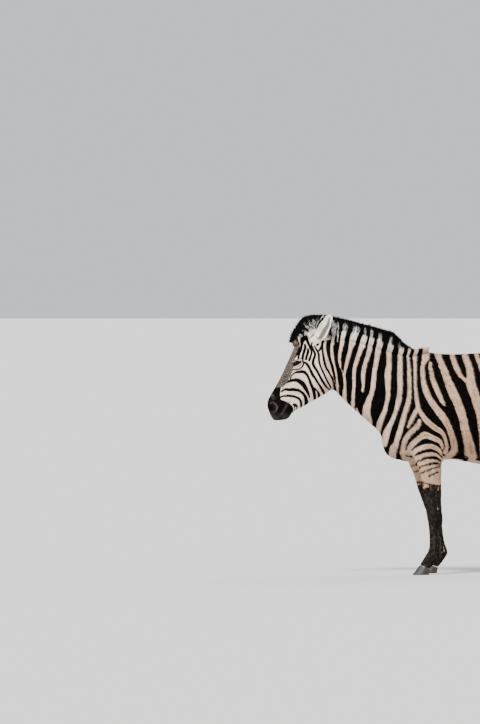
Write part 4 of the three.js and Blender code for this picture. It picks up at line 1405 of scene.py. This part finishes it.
def coat_colour(n):
    """The stripes with their shadow stripes, the dusty pale ground and the muddy legs."""
    place = n.place()
    fine = n.noise(place, 240.0, 1.0)
    broad = n.noise(place, 5.0, 3.0)
    patches = n.noise(place, 28.0, 3.0)
    wobble = n.times(n.less(fine, 0.5), 2.6)
    stripe = n.plus(n.attribute("stripe"), wobble)
    pale_share = n.rise(stripe, -0.8, 0.8)
    shadow = n.rise(n.plus(n.attribute("shade"), n.times(wobble, 1.5)), -3.0, 4.0)
    height = n.axis(place, 2)
    whiter_and_highlit = n.attribute("whiter_and_highlit")
    cream = n.mix(n.rise(n.axis(place, 1), -0.45, 0.05), CREAM, TAN_CREAM)
    cream = n.mix(n.rise(height, 0.75, 0.6), cream, TAN_CREAM)
    pale = n.mix(n.rise(broad, 0.35, 0.7), cream, DUST)
    pale = n.mix(n.rise(patches, 0.40, 0.62), pale, cream)
    # near white pale ground on the head and ears, and a painted highlight along the top of the neck
    pale = n.mix(whiter_and_highlit, pale, NEAR_WHITE)
    pale = n.mix(n.times(shadow, 0.85), pale, SHADOW_BROWN)
    dark = n.mix(n.rise(patches, 0.45, 0.75), BLACK_COAT, BROWN_BLACK)
    count = n.plus(n.attribute("lines"), n.times(n.less(patches, 0.5), 1.2))
    line = n.math("COSINE", n.times(count, 2 * math.pi))
    fine_pale = n.times(n.rise(line, 0.4, 0.85), 0.42)
    front = n.attribute("front")
    pale_share = n.plus(n.times(pale_share, n.less(1.0, front)), n.times(fine_pale, front))
    colour = n.mix(pale_share, dark, pale)
    # dark hairless skin, with painted shade round the eyes and in the ears' hollows
    colour = n.mix(n.attribute("bare_skin_and_shade"), colour, BARE_SKIN_AND_SHADE)
    # painted highlights on the muzzle, and its dusty greyish lower lip and chin
    colour = n.mix(n.times(n.attribute("grey_and_sheen"), n.rise(patches, 0.2, 0.7)), colour, GREY_SKIN_AND_SHEEN)
    ragged = n.times(n.less(patches, 0.5), 0.13)
    speckled = n.times(n.less(fine, 0.5), 0.035)
    edge = n.plus(height, n.plus(ragged, speckled))
    muddy = n.rise(edge, MUD_LINE + 0.012, MUD_LINE)
    worn = n.rise(n.noise(n.stretched(place, (38.0, 38.0, 20.0)), 1.0, 2.0), 0.70, 0.74)
    muddy = n.times(muddy, n.less(1.0, n.times(worn, 0.6)))
    mud = n.mix(n.rise(n.noise(place, 60.0, 3.0), 0.42, 0.72), MUD, DRY_MUD)
    return n.mix(muddy, colour, mud), place


def skin_material():
    n = Nodes("striped hide")
    colour, place = coat_colour(n)
    n.surface(colour, roughness=0.75, specular=0.04)
    hair = n.noise(n.stretched(place, (900.0, 900.0, 160.0)), 1.0, 2.0)
    n.bump(hair, distance=0.0009, strength=0.6)
    return n.material


def toned(n, colour, darkest=0.84):
    """Makes each tuft a little lighter or darker than its neighbours."""
    shade = n.plus(n.times(n.attribute("tone"), 0.3), darkest)
    node = n.tree.nodes.new("ShaderNodeVectorMath")
    node.operation = "SCALE"
    n.put(node.inputs[0], colour)
    n.put(node.inputs["Scale"], shade)
    return node.outputs[0]


def hair_material(name, roughness):
    n = Nodes(name)
    colour, _ = coat_colour(n)
    n.surface(toned(n, colour), roughness, specular=0.04)
    return n.material


def long_hair_material(name, fringe, taper):
    """Striped at the root, dark within the fringe in millimetres; pale stripes may taper upwards."""
    n = Nodes(f"{name} hair")
    place = n.place()
    uneven = n.times(n.less(n.noise(place, 90.0, 2.0), 0.5), 22.0)
    edge = n.plus(n.attribute("reach"), uneven)
    pale = n.mix(n.rise(n.noise(place, 40.0, 2.0), 0.2, 0.5), NEAR_WHITE, MANE_WHITE)
    narrower = n.times(n.less(n.attribute("reach"), 75.0), taper)
    stripe = n.plus(n.attribute("stripe"), narrower)
    striped = n.mix(n.rise(stripe, -1.5, 1.5), BLACK_COAT, pale)
    colour = n.mix(n.rise(edge, fringe - 4.0, fringe + 4.0), BLACK_COAT, striped)
    n.surface(toned(n, colour, darkest=0.92), roughness=0.62, specular=0.06)
    return n.material


def eye_material():
    n = Nodes("eye")
    iris = n.mix(n.rise(n.attribute("round"), 0.7, 0.95), IRIS_BROWN, IRIS_RIM)
    colour = n.mix(n.rise(n.attribute("pupil"), 0.9, 1.1), PUPIL_BLACK, iris)
    n.surface(colour, roughness=0.1, specular=0.1)
    return n.material


def hoof_material():
    n = Nodes("hoof horn")
    place = n.place()
    rings = n.noise(n.stretched(place, (3.0, 3.0, 90.0)), 1.0, 3.0)
    n.surface(n.mix(rings, HORN_DARK, HORN_LIGHT), roughness=0.6)
    n.bump(rings, distance=0.0008, strength=0.7)
    return n.material


# ------------------------------------------------------------------ the animal


def marked(mesh):
    """Gives a mesh its stripes and the other values that its colours depend on."""
    points = positions(mesh)
    stripe, shade = stripe_values(points)
    stripe = np.where(ear_share(points) > 0.25, ear_stripes(points, normals(mesh)), stripe)
    point_values(mesh, "stripe", stripe)
    point_values(mesh, "shade", shade)
    point_values(mesh, "whiter_and_highlit", whiteness_and_highlight(points))
    point_values(mesh, "bare_skin_and_shade", bare_skin_and_painted_shade(points))
    lines, front = face_lines(points)
    point_values(mesh, "lines", lines)
    point_values(mesh, "front", front)
    point_values(mesh, "grey_and_sheen", dusty_grey_and_sheen(points))


def whiteness_and_highlight(points):
    """1 where the pale ground is near white: on the ears, and partly on the head; by the mane, along
    the top of the neck, it is a painted highlight.
    """
    places = side_view(points)
    crest = np.interp(places[:, 0], [-700, -400, -150], [1400, 1370, 1290])
    # painted highlight: the pale ground turns near white in a band below the crest of the neck
    painted_crest_highlight = eased(places[:, 1], crest - 90, crest) * eased(-places[:, 0], 120, 300)
    head = 0.45 * (1 - eased(points[:, 1], -0.8, -0.68))
    return np.maximum.reduce([painted_crest_highlight, head, ear_share(points) * 0.8])


def bare_skin_and_painted_shade(points):
    """1 on the dark hairless skin of the lids' rims and the nostrils; up to 0.4 of painted shade
    round each eye; and 0.85 on the band inside each ear, partly its dark skin and partly painted
    shade in its hollow.
    """
    bare_skin_and_shade = np.zeros(len(points))
    for side in (1, -1):
        local, _ = eye_places(points, side)
        near = (local[:, 2] > -0.005) & (np.linalg.norm(local, axis=1) < 0.05)
        rim, _, _ = almond_gap(local[:, 0], local[:, 1], RIM_LENGTH, UPPER_RIM, LOWER_RIM)
        bare_skin_and_shade = np.maximum(bare_skin_and_shade, near * (1 - eased(rim, -0.6 * MM, 0.6 * MM)))
        # painted shade: the skin round each eye darkened towards its rims
        bare_skin_and_shade = np.maximum(bare_skin_and_shade, near * 0.4 * (1 - eased(rim, 0, 13 * MM)))
    places = side_view(points)
    pit = eased(inside_strokes(places, [NOSTRIL]), -2, 1) * on_fine_part(points)
    # the band inside each ear: partly dark skin, partly painted shade in its hollow
    ear_skin_and_shade = eased(inside_strokes(places, EAR_SKIN_AND_SHADE), -7, 4) * (ear_share(points) > 0) * 0.85
    return np.maximum.reduce([bare_skin_and_shade, pit, ear_skin_and_shade])


def dusty_grey_and_sheen(points):
    """Up to 0.85 on painted highlights: the nostrils' rims, the lips' edge along the mouth and a
    patch on the nose; 0.45 on the dusty greyish skin low on the muzzle.
    """
    places = side_view(points)
    # painted highlights on the nostril's rim, the lips' edge and the nose
    lips = 0.85 * eased(inside_strokes(places, MUZZLE_HIGHLIGHTS), -8, 5) * (points[:, 1] < -0.85)
    low = (1 - eased(points[:, 2], 0.915, 0.97)) * (points[:, 1] < -0.85)
    return np.maximum(lips, 0.45 * low)


def eyeball(node):
    """A smooth ball with a long level pupil."""
    side = 1 if node.endswith("left") else -1
    centre = Vector((EYE.x * side, EYE.y, EYE.z))
    bm = bmesh.new()
    bmesh.ops.create_uvsphere(
        bm, u_segments=40, v_segments=28, radius=EYE_RADIUS - 0.2 * MM,
        matrix=Matrix.Translation(centre),
    )
    ball = from_bmesh(bm, f"{node}_ball")
    local, _ = eye_places(positions(ball.data), side)
    facing = local[:, 2] > 0
    pupil = np.hypot(local[:, 0] / (8.5 * MM), local[:, 1] / (4.2 * MM))
    point_values(ball.data, "pupil", np.where(facing, pupil, 2.0))
    rings = np.hypot(local[:, 0], local[:, 1]) / (17 * MM)
    point_values(ball.data, "round", np.where(facing, rings, 2.0))
    finished(ball, eye_material(), [node])


def hoof(node):
    """A hoof with rounded walls and a crisp edge at the ground and the coronet."""
    bm = bmesh.new()
    add_solid(bm, node, 0)
    bmesh.ops.dissolve_limit(bm, angle_limit=math.radians(2), verts=bm.verts, edges=bm.edges)
    crease = bm.edges.layers.float.new("crease_edge")
    for edge in bm.edges:
        edge[crease] = 1.0 if edge.calc_face_angle(0) > math.radians(50) else 0.0
    horn = from_bmesh(bm, f"{node}_horn")
    round_off = horn.modifiers.new("round", "SUBSURF")
    round_off.levels = round_off.render_levels = 3
    applied(horn)
    finished(horn, hoof_material(), [node])


skin = fused_flesh()
refined(skin, on_fine_part)
smooth_facets(skin)
sculpted(skin)
thinned(skin, stripe_values(positions(skin.data))[0], SKIN_FACES)
marked(skin.data)
smooth_shaded(skin)
unwrapped(skin)
finished(skin, skin_material(), BODY_NODES + LEG_NODES + EAR_NODES)
coat(skin)
long_hair("mane", mane_way, count=26000, length=46 * MM, width=3.4 * MM, shrink=8 * MM,
          fringe=17.0, seed=201)
long_hair("forelock", forelock_way, count=10000, length=44 * MM, width=3.2 * MM, shrink=7 * MM,
          fringe=14.0, seed=202)
long_hair("tail_tuft", tail_way, count=9000, length=120 * MM, width=5 * MM, shrink=7 * MM,
          fringe=400.0, seed=203)
for node in EYE_NODES:
    eyeball(node)
for node in HOOF_NODES:
    hoof(node)


# ------------------------------------------------------------------ floor, light and camera

FLOOR_GREY = (0.66, 0.65, 0.63)
FLOOR_SIZE = 3000
SKY_WHITE = (0.93, 0.95, 1.0, 1)
SKY_STRENGTH = 0.86


def floor_and_light():
    bm = bmesh.new()
    bmesh.ops.create_grid(bm, x_segments=1, y_segments=1, size=FLOOR_SIZE)
    floor = from_bmesh(bm, "floor")
    ground = Nodes("pale floor")
    ground.surface(FLOOR_GREY, roughness=0.9)
    floor.data.materials.append(ground.material)
    world = bpy.data.worlds.new("studio")
    bpy.context.scene.world = world
    world.use_nodes = True
    sky = world.node_tree.nodes["Background"]
    sky.inputs["Color"].default_value = SKY_WHITE
    sky.inputs["Strength"].default_value = SKY_STRENGTH
    for name, place, softness_degrees, power in (
        ("key", (3.4, -3.0, 4.6), 14, 5.6),
        ("back", (-3.0, 2.6, 3.2), 40, 1.2),
    ):
        light = bpy.data.lights.new(name, "SUN")
        light.angle, light.energy = math.radians(softness_degrees), power
        lamp = bpy.data.objects.new(name, light)
        bpy.context.scene.collection.objects.link(lamp)
        lamp.location = place
        lamp.rotation_euler = (-lamp.location).to_track_quat("-Z", "Y").to_euler()


CAMERA_HEIGHT = 1.515
SENSOR = 36  # millimetres, along the view's longer side


def side_camera():
    """Sees the animal as its chart is drawn."""
    aim_along, aim_height = CHART_MIDDLE
    data = bpy.data.cameras.new("camera")
    camera = bpy.data.objects.new("camera", data)
    bpy.context.scene.collection.objects.link(camera)
    bpy.context.scene.camera = camera
    aim = Vector((math.sin(TURN) * aim_along, math.cos(TURN) * aim_along, aim_height))
    camera.location = aim + Vector((math.cos(TURN), -math.sin(TURN), 0)) * CHART_FROM
    camera.location.z = CAMERA_HEIGHT
    camera.rotation_euler = (aim - camera.location).to_track_quat("-Z", "Y").to_euler()
    data.sensor_width = SENSOR
    data.lens = SENSOR * CHART_FROM / (CHART_HEIGHT * SQUARE * MM)
    data.clip_end = 2 * FLOOR_SIZE


floor_and_light()
side_camera()
